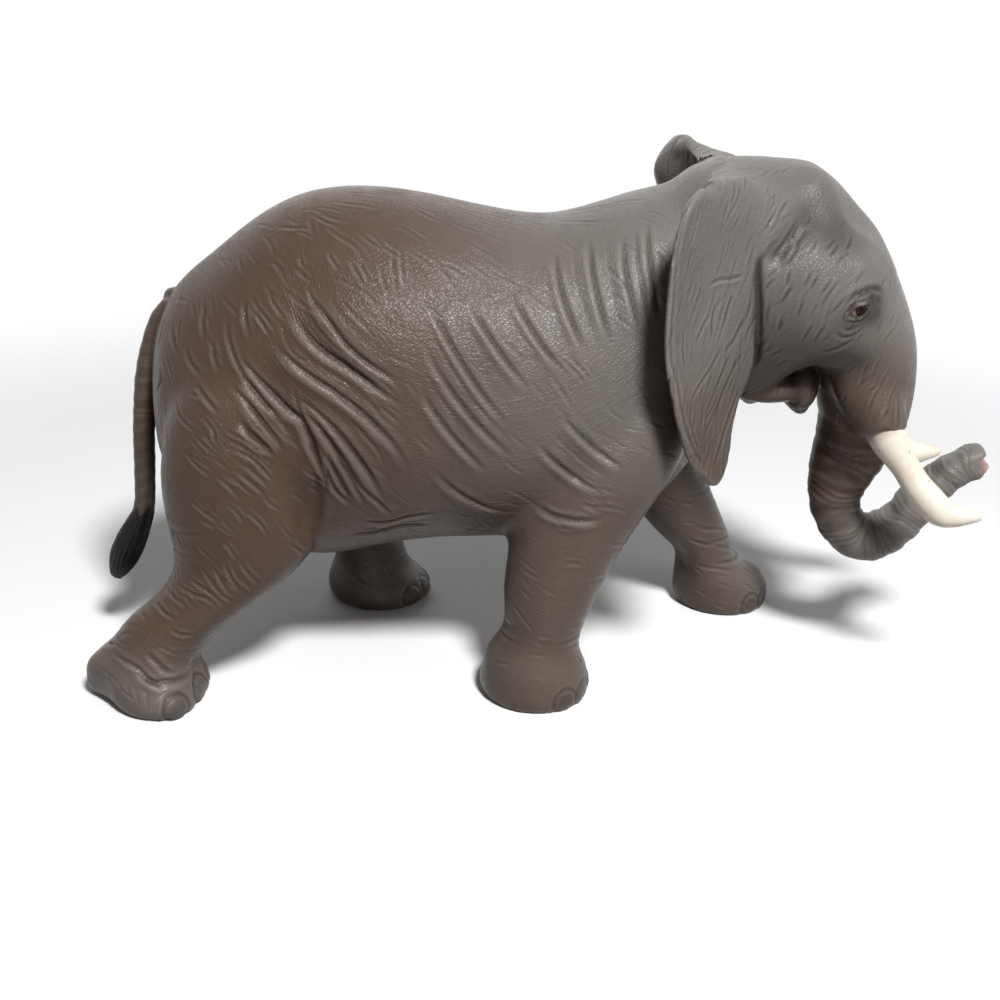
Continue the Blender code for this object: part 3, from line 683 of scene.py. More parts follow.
FLANK_LINES = [
    [(240, 440), (250, 444), (262, 455), (276, 466)],
    [(240, 453), (254, 459), (264, 470), (274, 479)],
    [(240, 473), (251, 482), (267, 496)],
    [(289, 346), (298, 356), (310, 362)],
    [(318, 318), (330, 333), (344, 347)],
    [(330, 392), (352, 408), (370, 424)],
    [(345, 412), (362, 430), (378, 450), (388, 470)],
    [(328, 250), (334, 262), (343, 272)],
    [(349, 257), (356, 270), (365, 285)],
    [(359, 260), (364, 270), (372, 284)],
    [(300, 256), (302, 262), (305, 268)],
    [(393, 250), (394, 270), (399, 296)],
    [(402, 246), (403, 268), (407, 294)],
    [(380, 262), (384, 280), (390, 298)],
    [(268, 290), (276, 306), (288, 322)],
    [(256, 306), (262, 322), (274, 338)],
]
BELLY_FOLDS = [
    [(307, 441), (316, 455), (325, 476), (329, 492)],
    [(327, 450), (333, 466), (342, 484), (354, 502)],
    [(335, 451), (346, 469), (355, 485), (367, 504)],
    [(340, 449), (358, 482), (379, 502), (396, 517)],
    [(324, 457), (334, 486), (354, 506)],
    [(360, 520), (384, 522), (410, 516), (440, 512)],
    [(345, 534), (372, 532), (402, 525), (436, 524)],
]
GROIN_FOLD = [[(303, 424), (311, 448), (317, 478), (319, 506), (316, 531), (318, 553)]]
THIGH_HOLLOW = [[(313, 470), (309, 498), (307, 522), (303, 545)]]
RUMP_FOLDS = [
    [(228, 309), (229, 334), (236, 359), (249, 381), (266, 402)],
    [(213, 338), (215, 356), (221, 374)],
    [(186, 342), (191, 361), (206, 379)],
    [(196, 382), (209, 400), (223, 414)],
    [(229, 382), (247, 400), (266, 420)],
    [(239, 352), (256, 376), (277, 397)],
    [(160, 364), (161, 381), (156, 392)],
    [(172, 320), (174, 340), (180, 358)],
    [(205, 300), (203, 322), (207, 344)],
    [(246, 296), (246, 318), (252, 340)],
]
THIGH_LINES = [
    [(195, 435), (211, 449), (225, 459)],
    [(213, 426), (217, 441), (223, 449)],
    [(221, 426), (244, 439), (264, 453), (276, 465)],
    [(228, 447), (248, 455), (264, 469), (274, 482)],
    [(238, 471), (252, 480), (268, 494)],
    [(217, 473), (232, 488), (242, 498)],
    [(223, 539), (234, 553), (238, 561)],
    [(186, 452), (200, 466), (214, 476)],
    [(190, 498), (206, 512), (222, 522)],
    [(176, 410), (188, 424), (200, 432)],
    [(244, 508), (258, 520), (270, 536)],
]
SHANK_FOLDS = [
    [(186, 575), (201, 586), (213, 594), (228, 607)],
    [(201, 566), (211, 580), (221, 593), (235, 602)],
    [(213, 566), (223, 582), (232, 595)],
    [(225, 562), (232, 578), (242, 592)],
    [(176, 583), (193, 593), (207, 598), (221, 607)],
    [(165, 583), (176, 598), (190, 606)],
    [(158, 600), (166, 612), (178, 619)],
    [(240, 560), (250, 574), (262, 584)],
    [(170, 628), (182, 634), (196, 634)],
]
ANKLE_FOLDS = [
    [(113, 653), (126, 660), (140, 669), (152, 679), (167, 678), (182, 675), (198, 668)],
    [(147, 651), (157, 661), (167, 669), (178, 671)],
    [(133, 671), (144, 678), (155, 682), (166, 686)],
    [(103, 638), (110, 643), (119, 646)],
]
FOOT_LINES = [
    [(117, 684), (119, 690), (121, 697)],
    [(126, 685), (128, 692), (131, 701)],
    [(135, 686), (137, 694), (139, 704)],
    [(146, 687), (147, 696), (149, 706)],
    [(104, 672), (106, 680), (110, 690)],
]
TEMPLE_LINES = [
    [(801, 213), (786, 239), (771, 259)],
    [(797, 237), (788, 249), (780, 261)],
    [(801, 244), (793, 255), (787, 266)],
    [(811, 272), (807, 281), (803, 288)],
    [(820, 274), (814, 283), (809, 292)],
    [(833, 279), (825, 289), (818, 298)],
    [(843, 278), (834, 287), (825, 300), (818, 312)],
    [(847, 295), (837, 307), (827, 317)],
    [(776, 277), (768, 285), (763, 293)],
    [(791, 268), (788, 279), (786, 289)],
    [(794, 282), (786, 295), (780, 307)],
    [(806, 296), (800, 309), (796, 320)],
    [(784, 312), (780, 324), (778, 334)],
    [(770, 300), (767, 316), (766, 330)],
    [(856, 232), (852, 243), (846, 252)],
    [(842, 240), (836, 250), (828, 258)],
    [(820, 236), (814, 248), (805, 258)],
    [(812, 222), (803, 236), (794, 250)],
    [(790, 198), (780, 212), (774, 226)],
    [(778, 206), (770, 220), (764, 232)],
    [(815, 320), (808, 331), (800, 344)],
    [(828, 320), (820, 332), (812, 344)],
]
PAD_LINES = [
    [(884, 352), (876, 366), (870, 382)],
    [(892, 362), (882, 380), (876, 396)],
    [(900, 372), (892, 392), (886, 410)],
    [(872, 356), (864, 372), (860, 388)],
    [(880, 384), (872, 402), (868, 416)],
]
CHEEK_FOLDS = [
    [(812, 346), (822, 351), (832, 350), (844, 345), (856, 336), (863, 331)],
    [(841, 324), (847, 329), (855, 327), (863, 322)],
    [(836, 330), (841, 336), (850, 336), (858, 331), (866, 325)],
]
BROW_FOLD = [[(842, 312), (848, 303), (855, 296), (864, 291), (874, 288), (882, 290), (887, 298)]]
EAR_GAP = [[(768, 250), (760, 262), (758, 282), (759, 312), (758, 344), (753, 372)]]
EAR_FOLDS = [
    [(708, 286), (718, 280), (733, 278), (746, 273)],
    [(722, 345), (710, 369), (697, 389), (690, 406)],
    [(710, 313), (703, 326), (696, 343)],
    [(744, 316), (734, 339), (724, 352)],
    [(730, 353), (721, 376), (714, 392)],
    [(746, 346), (733, 369), (720, 399), (709, 424), (703, 442)],
    [(741, 384), (729, 416), (719, 449), (713, 470)],
    [(716, 300), (712, 322), (712, 340)],
    [(733, 292), (727, 312), (722, 330)],
    [(684, 330), (683, 350), (685, 368)],
    [(690, 420), (694, 436), (699, 452)],
]
EAR_RIM = [[(700, 190), (688, 206), (682, 228), (677, 256), (675, 292), (672, 330), (672, 360),
            (678, 384), (681, 404), (687, 430), (695, 450), (706, 470)]]
FAR_LEG_FOLDS = [
    [(690, 522), (705, 528), (722, 529), (732, 536)],
    [(712, 544), (724, 547), (735, 549)],
    [(690, 560), (704, 566), (720, 568), (734, 570)],
    [(684, 536), (700, 543), (714, 545)],
]

# Folds of the side that no view of the photograph shows, continued on the same scale
MIDDLE_FOLDS = [
    [(430, 300), (444, 330), (462, 362), (486, 398), (514, 430)],
    [(424, 340), (440, 372), (462, 404), (490, 436), (520, 462)],
    [(420, 386), (438, 416), (462, 446), (492, 476)],
    [(470, 300), (486, 330), (508, 362), (534, 394)],
    [(432, 468), (456, 490), (486, 506), (520, 514)],
    [(512, 290), (528, 322), (548, 352), (570, 378)],
    [(556, 250), (562, 290), (576, 330), (592, 362)],
    [(590, 236), (594, 276), (604, 318), (616, 352)],
    [(624, 232), (626, 268), (634, 306), (642, 340)],
    [(648, 220), (650, 256), (656, 292), (660, 326)],
    [(536, 440), (556, 462), (580, 480), (604, 492)],
    [(560, 412), (584, 438), (608, 458), (628, 470)],
    [(528, 500), (552, 514), (580, 520), (606, 518)],
]


def between(lines):
    """Lines half-way between neighbours of a set."""
    share = np.linspace(0, 1, 7)
    halves = []
    for one, other in zip(lines, lines[1:]):
        a = resampled(one, share)
        b = resampled(other, share)
        if np.linalg.norm(a - b, axis=1).max() < 45:
            halves.append(list((a + b) / 2))
    return halves


def resampled(line, share):
    line = np.array(line, dtype=float)
    runs = np.concatenate(([0], np.cumsum(np.linalg.norm(np.diff(line, axis=0), axis=1))))
    return np.stack([np.interp(share * runs[-1], runs, line[:, i]) for i in range(2)], axis=1)


def carve_set(sculptor, lines, depth, width, moves=(), **more):
    """Carve lines of the photograph, and again where each move puts them."""
    for line in lines:
        path = sculptor.from_photo(line)
        sculptor.fold(path, depth * MM, width * MM, **more)
        for move in moves:
            if path is not None:
                sculptor.fold(sculptor.moved(path, move), depth * MM, width * MM, **more)


def carve_body(sculptor, axes):
    both = (mirror_body,)
    hind = (leg_to_leg(axes["leg_hind_right"], axes["leg_hind_left"], True),)
    carve_set(sculptor, FLANK_VALLEYS, 0.55, 2.6, both, ridge=0.25, taper=0.4, dark=0.05)
    carve_set(sculptor, FLANK_FOLDS, 0.46, 0.42, both, ridge=0.95, taper=0.35, dark=0.5, spread=1.9)
    carve_set(sculptor, between(FLANK_FOLDS[:3]), 0.15, 0.28, both, taper=0.4, dark=0.25)
    carve_set(sculptor, between(FLANK_FOLDS[5:]), 0.17, 0.28, both, taper=0.4, dark=0.25)
    carve_set(sculptor, FLANK_LINES, 0.16, 0.26, both, taper=0.4, dark=0.3)
    carve_set(sculptor, BELLY_FOLDS, 0.28, 0.34, both, ridge=0.9, dark=0.45, spread=1.5)
    carve_set(sculptor, GROIN_FOLD, 0.20, 0.95, both, taper=0.35, dark=0.2)
    carve_set(sculptor, THIGH_HOLLOW, 0.60, 2.6, both, ridge=0.2, taper=0.4, dark=0.15)
    carve_set(sculptor, MIDDLE_FOLDS, 0.34, 0.40, both, ridge=0.9, taper=0.35, dark=0.45, spread=1.7)
    carve_set(sculptor, between(MIDDLE_FOLDS), 0.13, 0.28, both, taper=0.4, dark=0.2)
    carve_set(sculptor, RUMP_FOLDS, 0.15, 0.34, both, ridge=0.8, taper=0.45, dark=0.25, spread=1.4)
    carve_set(sculptor, THIGH_LINES, 0.14, 0.26, hind, ridge=0.9, taper=0.45, dark=0.25)
    carve_set(sculptor, between(THIGH_LINES), 0.10, 0.26, hind, ridge=0.9, taper=0.45, dark=0.15)
    carve_set(sculptor, SHANK_FOLDS, 0.16, 0.30, hind, ridge=0.8, taper=0.4, dark=0.25)
    carve_set(sculptor, ANKLE_FOLDS, 0.26, 0.40, hind, ridge=0.7, taper=0.35, dark=0.4, spread=1.4)
    carve_set(sculptor, FOOT_LINES, 0.07, 0.30, hind, taper=0.45, dark=0.12)
    carve_set(sculptor, FAR_LEG_FOLDS, 0.13, 0.36, taper=0.4, dark=0.2)


def carve_head(sculptor):
    both = (mirror_head,)
    ears = (mirror_ear,)
    carve_set(sculptor, EAR_GAP, 0.6, 0.7, both, ridge=0.0, taper=0.15, dark=0.9)
    carve_set(sculptor, TEMPLE_LINES, 0.12, 0.27, both, ridge=0.8, taper=0.4, dark=0.3)
    carve_set(sculptor, CHEEK_FOLDS, 0.15, 0.30, both, taper=0.35, dark=0.45, spread=1.4)
    carve_set(sculptor, BROW_FOLD, 0.38, 0.55, both, taper=0.35, dark=0.6)
    carve_set(sculptor, PAD_LINES, 0.06, 0.24, both, ridge=0.9, taper=0.45, dark=0.2)
    carve_set(sculptor, EAR_FOLDS, 0.18, 0.30, ears, ridge=0.7, dark=0.35)
    carve_set(sculptor, EAR_RIM, 0.14, 0.45, ears, ridge=1.1, taper=0.08, dark=0.1)


HOLLOWS = [          # place in the photograph, radius and height in millimetres, and darkness, which is painted shade
    (838, 228, 4.6, -1.15, 0.45),
    (838, 222, 8.5, 0.0, 0.40),
    (818, 190, 2.2, 0.45, 0.0),
    (812, 212, 2.6, -0.75, 0.30),
    (800, 228, 2.6, -0.80, 0.40),
    (789, 243, 2.3, -0.75, 0.40),
    (777, 256, 1.9, -0.65, 0.40),
    (770, 207, 4.5, 0.50, 0.0),
    (822, 184, 2.4, 0.25, 0.0),
    (712, 183, 1.4, 0.60, 0.0),
    (868, 264, 2.8, 0.60, 0.0),
    (879, 301, 1.9, -0.70, 1.0),
    (877, 318, 2.4, -0.25, 0.7),
    (852, 325, 1.6, 0.25, 0.0),
    (884, 378, 4.0, 0.40, 0.0),
    (842, 398, 2.4, 0.60, 0.5),
    (848, 414, 2.2, 0.45, 0.4),
    (806, 330, 4.0, 0.25, 0.0),
    (778, 350, 10.0, 0.0, 0.65),
    (795, 385, 6.0, 0.0, 0.5),
    (708, 440, 9.0, 0.0, 0.30),
    (215, 255, 12.0, 0.0, 0.22),
    (350, 322, 7.0, 0.75, 0.0),
    (392, 350, 6.0, 0.35, 0.0),
    (350, 440, 5.0, 0.35, 0.0),
    (225, 470, 9.0, 0.55, 0.0),
    (196, 404, 5.0, 0.20, 0.0),
    (120, 668, 4.0, 0.30, 0.0),
]


def shape_hollows(sculptor):
    for u, v, radius, height, dark in HOLLOWS:
        place, normal = sculptor.cast(CAMERA_PLACE, photo_ray(u, v))
        if place is None:
            continue
        sculptor.swell(place, normal, radius * MM, height * MM, dark)
        mirror = mirror_head if u > HEAD_FROM else mirror_body
        other, other_normal, _, _ = sculptor.tree.find_nearest(mirror(place))
        sculptor.swell(other, other_normal, radius * MM, height * MM, dark)


LEG_RINGS = {        # height, start and end angle from straight ahead, sag and depth; millimetres
    "fore": [(34, -80, 70, 1.5, 0.30), (30.5, -60, 85, 1.2, 0.34), (27.5, -75, 60, 1.0, 0.30),
             (24.5, -50, 80, 0.8, 0.22), (16.5, -95, 60, 0.8, 0.26), (13.5, -70, 95, 0.6, 0.36),
             (11.5, -110, 80, 0.5, 0.42), (12.5, 110, 230, 0.7, 0.34), (15.5, 120, 215, 0.8, 0.22)],
    "hind": [(33, 110, 215, 1.5, 0.26), (29, 120, 230, 1.2, 0.28), (25, 130, 220, 1.0, 0.24),
             (12, 120, 225, 0.8, 0.34), (15, 130, 215, 0.8, 0.24), (11.0, -60, 85, 0.5, 0.26),
             (14.5, -50, 70, 0.6, 0.2)],
}


def carve_leg_rings(sculptor, axes):
    for name in LEGS:
        kind = "hind" if "hind" in name else "fore"
        side = -1 if name.endswith("right") else 1
        for level, start, end, sag, depth in LEG_RINGS[kind]:
            hits = []
            for angle in np.linspace(start, end, 26):
                turn = math.radians(angle)
                drop = sag * math.sin(math.pi * (angle - start) / (end - start))
                wave = 0.35 * math.sin(3 * turn + level)
                inside = axes[name].at((level - drop + wave) * MM)
                way = Vector((math.cos(turn), side * math.sin(turn), 0))
                hits.append(sculptor.cast(inside, way))
            sculptor.fold(sculptor.kept(hits), 0.5 * depth * MM, 0.36 * MM, taper=0.4, dark=0.25,
                          spread=1.3)


NAIL_TURNS = {"hind": (-54, -18, 16, 48), "fore": (-60, -30, 0, 30, 60)}
NAIL_RELIEF = {"hind": 1.0, "fore": 0.6}
FOOT_LEVEL = 2 * MM
FOOT_REACH = 16 * MM
NAIL_TOP = 7.5 * MM
NAIL_HEIGHT = 2.3 * MM
NAIL_HALF_WIDTH = 2.25 * MM
NAIL_HALF_HEIGHT = 2.2 * MM


def carve_nails(sculptor, axes):
    """Raised nails on the front of each foot; gives the mask for their paint."""
    nails = np.zeros(len(sculptor.points))
    for name in LEGS:
        kind = "hind" if "hind" in name else "fore"
        side = -1 if name.endswith("right") else 1
        foot = axes[name].at(FOOT_LEVEL)
        reach = FOOT_REACH
        low = np.array((foot.x - reach, foot.y - reach, -1))
        high = np.array((foot.x + reach, foot.y + reach, NAIL_TOP))
        rows = sculptor.rows_in_box(low, high)
        away = sculptor.points[rows] - np.array(foot)
        turn = np.arctan2(away[:, 1] * -side, away[:, 0])
        radius = np.hypot(away[:, 0], away[:, 1])
        for degrees in NAIL_TURNS[kind]:
            arc = (turn - math.radians(degrees)) * radius / NAIL_HALF_WIDTH
            rise = (sculptor.points[rows, 2] - NAIL_HEIGHT) / NAIL_HALF_HEIGHT
            outwards = np.sqrt(arc ** 2 + rise ** 2)
            nail = 1 - np.clip((outwards - 0.72) / 0.25, 0, 1)
            groove = np.exp(-((outwards - 1.1) / 0.17) ** 2)
            raised = 0.14 * nail * nail * (3 - 2 * nail) - 0.24 * groove
            sculptor.height[rows] += MM * NAIL_RELIEF[kind] * raised
            # Painted shade in the groove round each nail
            sculptor.crease[rows] += 0.4 * NAIL_RELIEF[kind] * groove
            painted = 0.6 - np.clip((outwards - 0.7) / 0.5, 0, 0.6)
            nails[rows] = np.maximum(nails[rows], painted)
    return nails


TRUNK_LINE = [       # along and up in the head's frame, millimetres from its pivot
    (33.5, -17.5), (33.5, -20.9), (32.9, -24.9), (31.7, -28.5), (30.8, -33.4), (31.5, -37.6),
    (33.7, -41.0), (36.8, -42.7), (40.1, -42.1), (43.5, -39.0), (46.5, -35.0), (49.4, -31.3),
    (52.5, -28.2), (55.5, -26.3), (57.3, -25.3),
]


def carve_trunk(sculptor, owner, flow):
    """Rings of skin round the trunk, closer together near its tip."""
    rows = np.nonzero(belongs_to(owner, "trunk"))[0]
    local = in_head_frame(sculptor.points[rows])
    line = smooth_line(TRUNK_LINE, 0.25)
    runs = np.concatenate(([0], np.cumsum(np.linalg.norm(np.diff(line, axis=0), axis=1))))
    flat = local[:, (0, 2)]
    nearest = np.empty(len(rows), dtype=int)
    for first in range(0, len(rows), 20000):
        part = flat[first:first + 20000]
        gaps = ((part[:, None, :] - line[None]) ** 2).sum(2)
        nearest[first:first + 20000] = gaps.argmin(1)
    tangent = np.gradient(line, axis=0)
    tangent /= np.linalg.norm(tangent, axis=1)[:, None]
    across = flat - line[nearest]
    offset = (across * tangent[nearest]).sum(1)
    along = runs[nearest] + offset
    front = across[:, 0] * tangent[nearest][:, 1] - across[:, 1] * tangent[nearest][:, 0]
    turn = np.arctan2(local[:, 1], front)
    total = runs[-1]
    share = along / total
    pitch = 2.0 - 0.65 * share
    phase = (along / pitch + 0.30 * np.sin(2 * turn + along * 0.9)
             + 0.24 * np.sin(3 * turn - along * 0.6) + 0.25 * np.sin(along * 0.8))
    ring = 0.5 + 0.5 * np.cos(2 * math.pi * phase)
    knob = 0.5 + 0.5 * np.sin(5 * turn + 2.4 * np.round(phase)) * np.sin(2 * turn + along * 1.3)
    start = np.clip((along - 3.0) / 5, 0, 1)
    end = np.clip((total - 1.2 - along) / 1.5, 0, 1)
    shown = start * end
    swell = np.cos(2 * math.pi * along / 3.3 + 0.9 * np.sin(2 * turn)) * (0.5 + 0.5 * knob)
    sculptor.height[rows] += MM * shown * (0.12 * (ring - 0.6) * (0.35 + 0.65 * knob) + 0.12 * swell)
    # Painted shade in the grooves between the rings
    sculptor.crease[rows] += 0.16 * shown * (0.4 + 0.6 * knob) * (1 - ring) ** 3
    # Worn paint and painted highlight on the ring tops, more towards the tip
    sculptor.wear_and_highlight[rows] += shown * (0.3 + 0.7 * smooth_step(share, 0.35, 0.75)) * ring ** 2 * knob
    flow[rows] = np.stack((along, turn * 3, np.full(len(rows), 0.6)), axis=1)
    notch_path = []
    tip_way = Vector((0.90, 0, 0.43))
    for out in np.linspace(-3.2, 3.2, 14):
        start_point = Vector((62.0, out, -23.6)) * MM
        notch_path.append(sculptor.cast(HEAD @ start_point, HEAD.to_3x3() @ -tip_way))
    sculptor.fold(sculptor.kept(notch_path), 2.0 * MM, 0.8 * MM, ridge=0.1, taper=0.08, dark=0.5)


def carve_tail(sculptor, owner):
    rows = np.nonzero(belongs_to(owner, "tail"))[0]
    points = sculptor.points[rows]
    low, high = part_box("tail")
    tuft_top = high[2] - 0.735 * (high[2] - low[2])
    tuft = np.clip((tuft_top - points[:, 2]) / (1.2 * MM), 0, 1)
    middle = np.zeros((len(rows), 2))
    bins = ((points[:, 2] - low[2]) / (1.0 * MM)).astype(int).clip(0, 80)
    for level in np.unique(bins):
        here = bins == level
        middle[here] = points[here][:, :2].mean(0)
    turn = np.arctan2(points[:, 1] - middle[:, 1], points[:, 0] - middle[:, 0])
    hair = np.sin(9 * turn + 0.9 * np.sin(points[:, 2] / MM * 0.5))
    sculptor.height[rows] += MM * tuft * 0.28 * (np.abs(hair) ** 0.7 - 0.7)
    rope = np.sin(points[:, 2] / MM * 2.1 + 0.8 * np.sin(2 * turn))
    sculptor.height[rows] += MM * (1 - tuft) * 0.03 * rope
    sculptor.shift[rows, :2] -= 0.12 * (points[:, :2] - middle)
    paint = np.zeros(len(sculptor.points))
    jag = 0.8 * MM * np.sin(5 * turn)
    paint[rows] = np.clip((tuft_top - points[:, 2] + jag) / (0.5 * MM) + 0.5, 0, 1)
    return paint


WRINKLE_FIELDS = [   # node, how many, way they run in degrees below ahead, length in millimetres
    ("torso_right", 260, 48, 9), ("torso_left", 260, 48, 9),
    ("leg_hind_right", 110, 38, 6), ("leg_hind_left", 110, 38, 6),
    ("leg_front_right", 110, 20, 6), ("leg_front_left", 110, 20, 6),
    ("head", 300, 122, 5), ("ear_right", 190, 112, 9), ("ear_left", 190, 112, 9),
]


def fine_wrinkles(sculptor, owner):
    """Short shallow wrinkles all over, which follow the hang of the skin."""
    random = np.random.default_rng(7)
    for name, count, slope, length in WRINKLE_FIELDS:
        rows = np.nonzero(belongs_to(owner, name))[0]
        picks = rows[random.integers(0, len(rows), count)]
        for row in picks:
            point = sculptor.points[row]
            normal = sculptor.normals[row]
            side = -1 if normal[1] < 0 else 1
            lean = math.radians(slope + random.normal(0, 9))
            way = np.array((math.cos(lean), 0.0, -math.sin(lean)))
            way -= normal * (way @ normal)
            size = np.linalg.norm(way)
            if size < 0.35:
                continue
            way /= size
            bend = np.cross(normal, way) * random.normal(0, 0.12)
            half = length * MM * random.uniform(0.5, 1.1) / 2
            steps = np.linspace(-1, 1, max(4, int(half / (0.35 * MM))))
            path = (point + way * half * steps[:, None]
                    + bend * half * (steps[:, None] ** 2 - 0.5))
            normals = np.repeat(normal[None], len(path), axis=0)
            sculptor.fold((path, normals), random.uniform(0.04, 0.10) * MM,
                          random.uniform(0.24, 0.34) * MM, ridge=0.8, taper=0.45, dark=0.12)


# Corrections of the outline

CORRECTIONS = [      # place in the photograph, radius and move ahead, away and up; mm
    (895, 416, 2.0, (0.2, 0.0, -1.6)),
    (903, 416, 1.6, (0.7, -0.5, -1.4)),
    (868, 530, 8.0, (0.1, 0.0, -1.3)),
    (890, 503, 2.6, (0.3, 0.0, -1.2)),
    (911, 482, 2.2, (0.4, 0.0, -1.1)),
    (930, 466, 2.2, (0.4, 0.0, -1.1)),
    (950, 450, 2.2, (0.2, 0.0, -0.9)),
    (978, 459, 1.2, (-1.2, 0.0, -0.2)),
    (976, 474, 1.8, (0.8, 0.0, -0.7)),
    (960, 489, 2.2, (0.7, 0.0, -0.6)),
    (204, 266, 8.0, (1.0, 0.0, -0.5)),
    (292, 203, 8.0, (0.0, 0.0, 0.55)),
    (864, 215, 4.5, (-1.7, 0.0, -1.0)),
    (816, 180, 5.5, (0.2, 0.0, 1.3)),
    (890, 270, 3.5, (0.5, 0.0, 0.3)),
]
ONE_SIDE_CORRECTIONS = [     # the same where the two sides of the figure differ
    (178, 703, 4.5, (0.5, -2.4, 0.0)),
    (148, 712, 4.5, (0.2, -0.7, 0.0)),
    (96, 697, 5.0, (1.0, 1.7, 1.5)),
    (96, 664, 3.5, (-1.0, 0.0, 0.3)),
    (138, 624, 4.5, (-1.3, 0.0, 0.4)),
    (197, 666, 2.2, (-0.8, 0.0, 0.2)),
    (752, 568, 2.8, (1.0, 0.0, 0.5)),
    (761, 583, 2.2, (0.9, 0.0, 0.0)),
    (762, 604, 2.4, (-1.2, 0.0, 0.3)),
    (733, 548, 2.0, (-0.5, 0.0, -0.1)),
    (684, 569, 2.0, (0.4, 0.0, 0.0)),
    (668, 548, 3.6, (-1.3, 0.0, -0.2)),
    (676, 592, 2.4, (-0.3, 0.0, -0.2)),
    (725, 515, 4.0, (0.3, 0.0, 0.1)),
    (684, 150, 7.0, (-1.0, 0.0, 0.6)),
    (675, 146, 5.0, (-2.6, 0.0, 0.2)),
    (672, 171, 5.5, (-3.2, 0.0, 0.0)),
    (790, 402, 2.0, (0.7, 0.0, 0.0)),
    (706, 481, 3.0, (0.0, 0.0, 1.1)),
]


def shape_corrections(sculptor):
    for both_sides, corrections in ((True, CORRECTIONS), (False, ONE_SIDE_CORRECTIONS)):
        for u, v, radius, move in corrections:
            place, _ = sculptor.cast(CAMERA_PLACE, photo_ray(u, v))
            if place is None:
                continue
            move = Vector(move) * MM
            sculptor.pull(place, radius * MM, move)
            other = mirror_head(place) if u > HEAD_FROM else mirror_body(place)
            if both_sides and (other - place).length > SAME_PLACE * radius * MM:
                sculptor.pull(other, radius * MM, Vector((move.x, -move.y, move.z)))


# Paint masks

HOLLOW_ROUNDS = 5                      # smoothing that tells hollow from raised skin
HOLLOW_DEPTH = 0.06                    # millimetres of sinking that are fully dark with painted shade
RIDGE_HEIGHT = 0.05                    # millimetres of rise that are fully worn and lightened with a painted highlight
# Painted shade from carved creases and from sunken skin
CREASE_SHADE_SHARE = 0.8
HOLLOW_SHADE_SHARE = 0.35
# Worn paint and painted highlight on raised skin
WORN_AND_HIGHLIGHT_SHARE = 0.65
WARM_ROUNDS = 30
WARM_WEIGHT = 0.6
GREY_TRUNK_FADE = (14, 30)             # millimetres down the trunk
REAR_FADE = (-45 * MM, 26 * MM)
LOW_BODY_FADE = (34 * MM, 62 * MM)
LOW_FACE_FADE = (52 * MM, 73 * MM)
LOW_EAR_FADE = (42 * MM, 70 * MM)
BACK_FADE = (-30 * MM, 20 * MM)
FOOT_FADE = (5 * MM, 15 * MM)
HIND_FEET_UP_TO = -20 * MM
FINGER_PLACE = (57.6, -27.0)           # pink finger of the trunk, along and up in the head's frame
FINGER_REACH = (1.2, 1.0)


def warm_and_shade_share(points, normals, owner, trunk_share):
    """Where the paint is the warm brown of the rump and legs, and not the grey of the head; the warm
    brown also stands for painted shade on the low face and trunk, the ears are warmer towards the
    bottom, the bottoms of the hind feet greyer, and surfaces that face up are made greyer and
    lighter as painted light.
    """
    height = points[:, 2]
    rear = 1 - smooth_step(points[:, 0], *REAR_FADE)
    low_body = 0.75 * (1 - smooth_step(height, *LOW_BODY_FADE))
    share = np.maximum(rear, low_body)
    # Painted shade: the low face and the trunk take the darker warm brown
    low_face_shade = 0.95 * (1 - smooth_step(height, *LOW_FACE_FADE)) * (1 - trunk_share)
    low_ear = 0.8 * (1 - smooth_step(height, *LOW_EAR_FADE))
    for name, value in (("head", low_face_shade), ("lower_jaw", low_face_shade), ("trunk", low_face_shade),
                        ("ear_right", low_ear), ("ear_left", low_ear)):
        rows = belongs_to(owner, name)
        share[rows] = value[rows]
    # Painted light: surfaces that face up are made greyer and lighter
    facing_up = smooth_step(normals[:, 2], 0.15, 0.85)
    upward = 1 - 0.45 * facing_up * smooth_step(points[:, 0], *BACK_FADE)
    foot = 1 - 0.55 * (1 - smooth_step(height, *FOOT_FADE)) * (points[:, 0] < HIND_FEET_UP_TO)
    return share * upward * foot


FLOW_CENTRE = np.array((-14.8, 87.7)) * MM     # the folds of the body run round this place
FLOW_STRENGTH = {"torso_right": 1.0, "torso_left": 1.0, "leg_hind_right": 0.8,
                 "leg_hind_left": 0.8, "leg_front_right": 0.7, "leg_front_left": 0.7,
                 "head": 0.7, "lower_jaw": 0.4, "ear_right": 0.9, "ear_left": 0.9}


def skin_flow(sculptor, owner):
    """Coordinates across and along the lie of the finest wrinkles, and their strength."""
    points = sculptor.points
    local = in_head_frame(points)
    away = (points[:, (0, 2)] - FLOW_CENTRE) / MM
    radius = np.hypot(away[:, 0], away[:, 1])
    turn = np.arctan2(away[:, 1], away[:, 0])
    across, along = radius, turn * 40
    lean = {"head": 57, "lower_jaw": 57, "ear_right": 66, "ear_left": 66}
    for name, degrees in lean.items():
        rows = belongs_to(owner, name)
        way = math.radians(degrees)
        across[rows] = math.sin(way) * local[rows, 0] - math.cos(way) * local[rows, 2]
        along[rows] = math.cos(way) * local[rows, 0] + math.sin(way) * local[rows, 2]
    for name in ("leg_front_right", "leg_front_left"):
        rows = belongs_to(owner, name)
        across[rows] = (points[rows, 2] + 0.25 * points[rows, 0]) / MM
        along[rows] = (points[rows, 0] - points[rows, 1]) / MM
    strength = np.zeros(len(points))
    for name, value in FLOW_STRENGTH.items():
        strength[belongs_to(owner, name)] = value
    return np.stack((across, along, strength), axis=1)


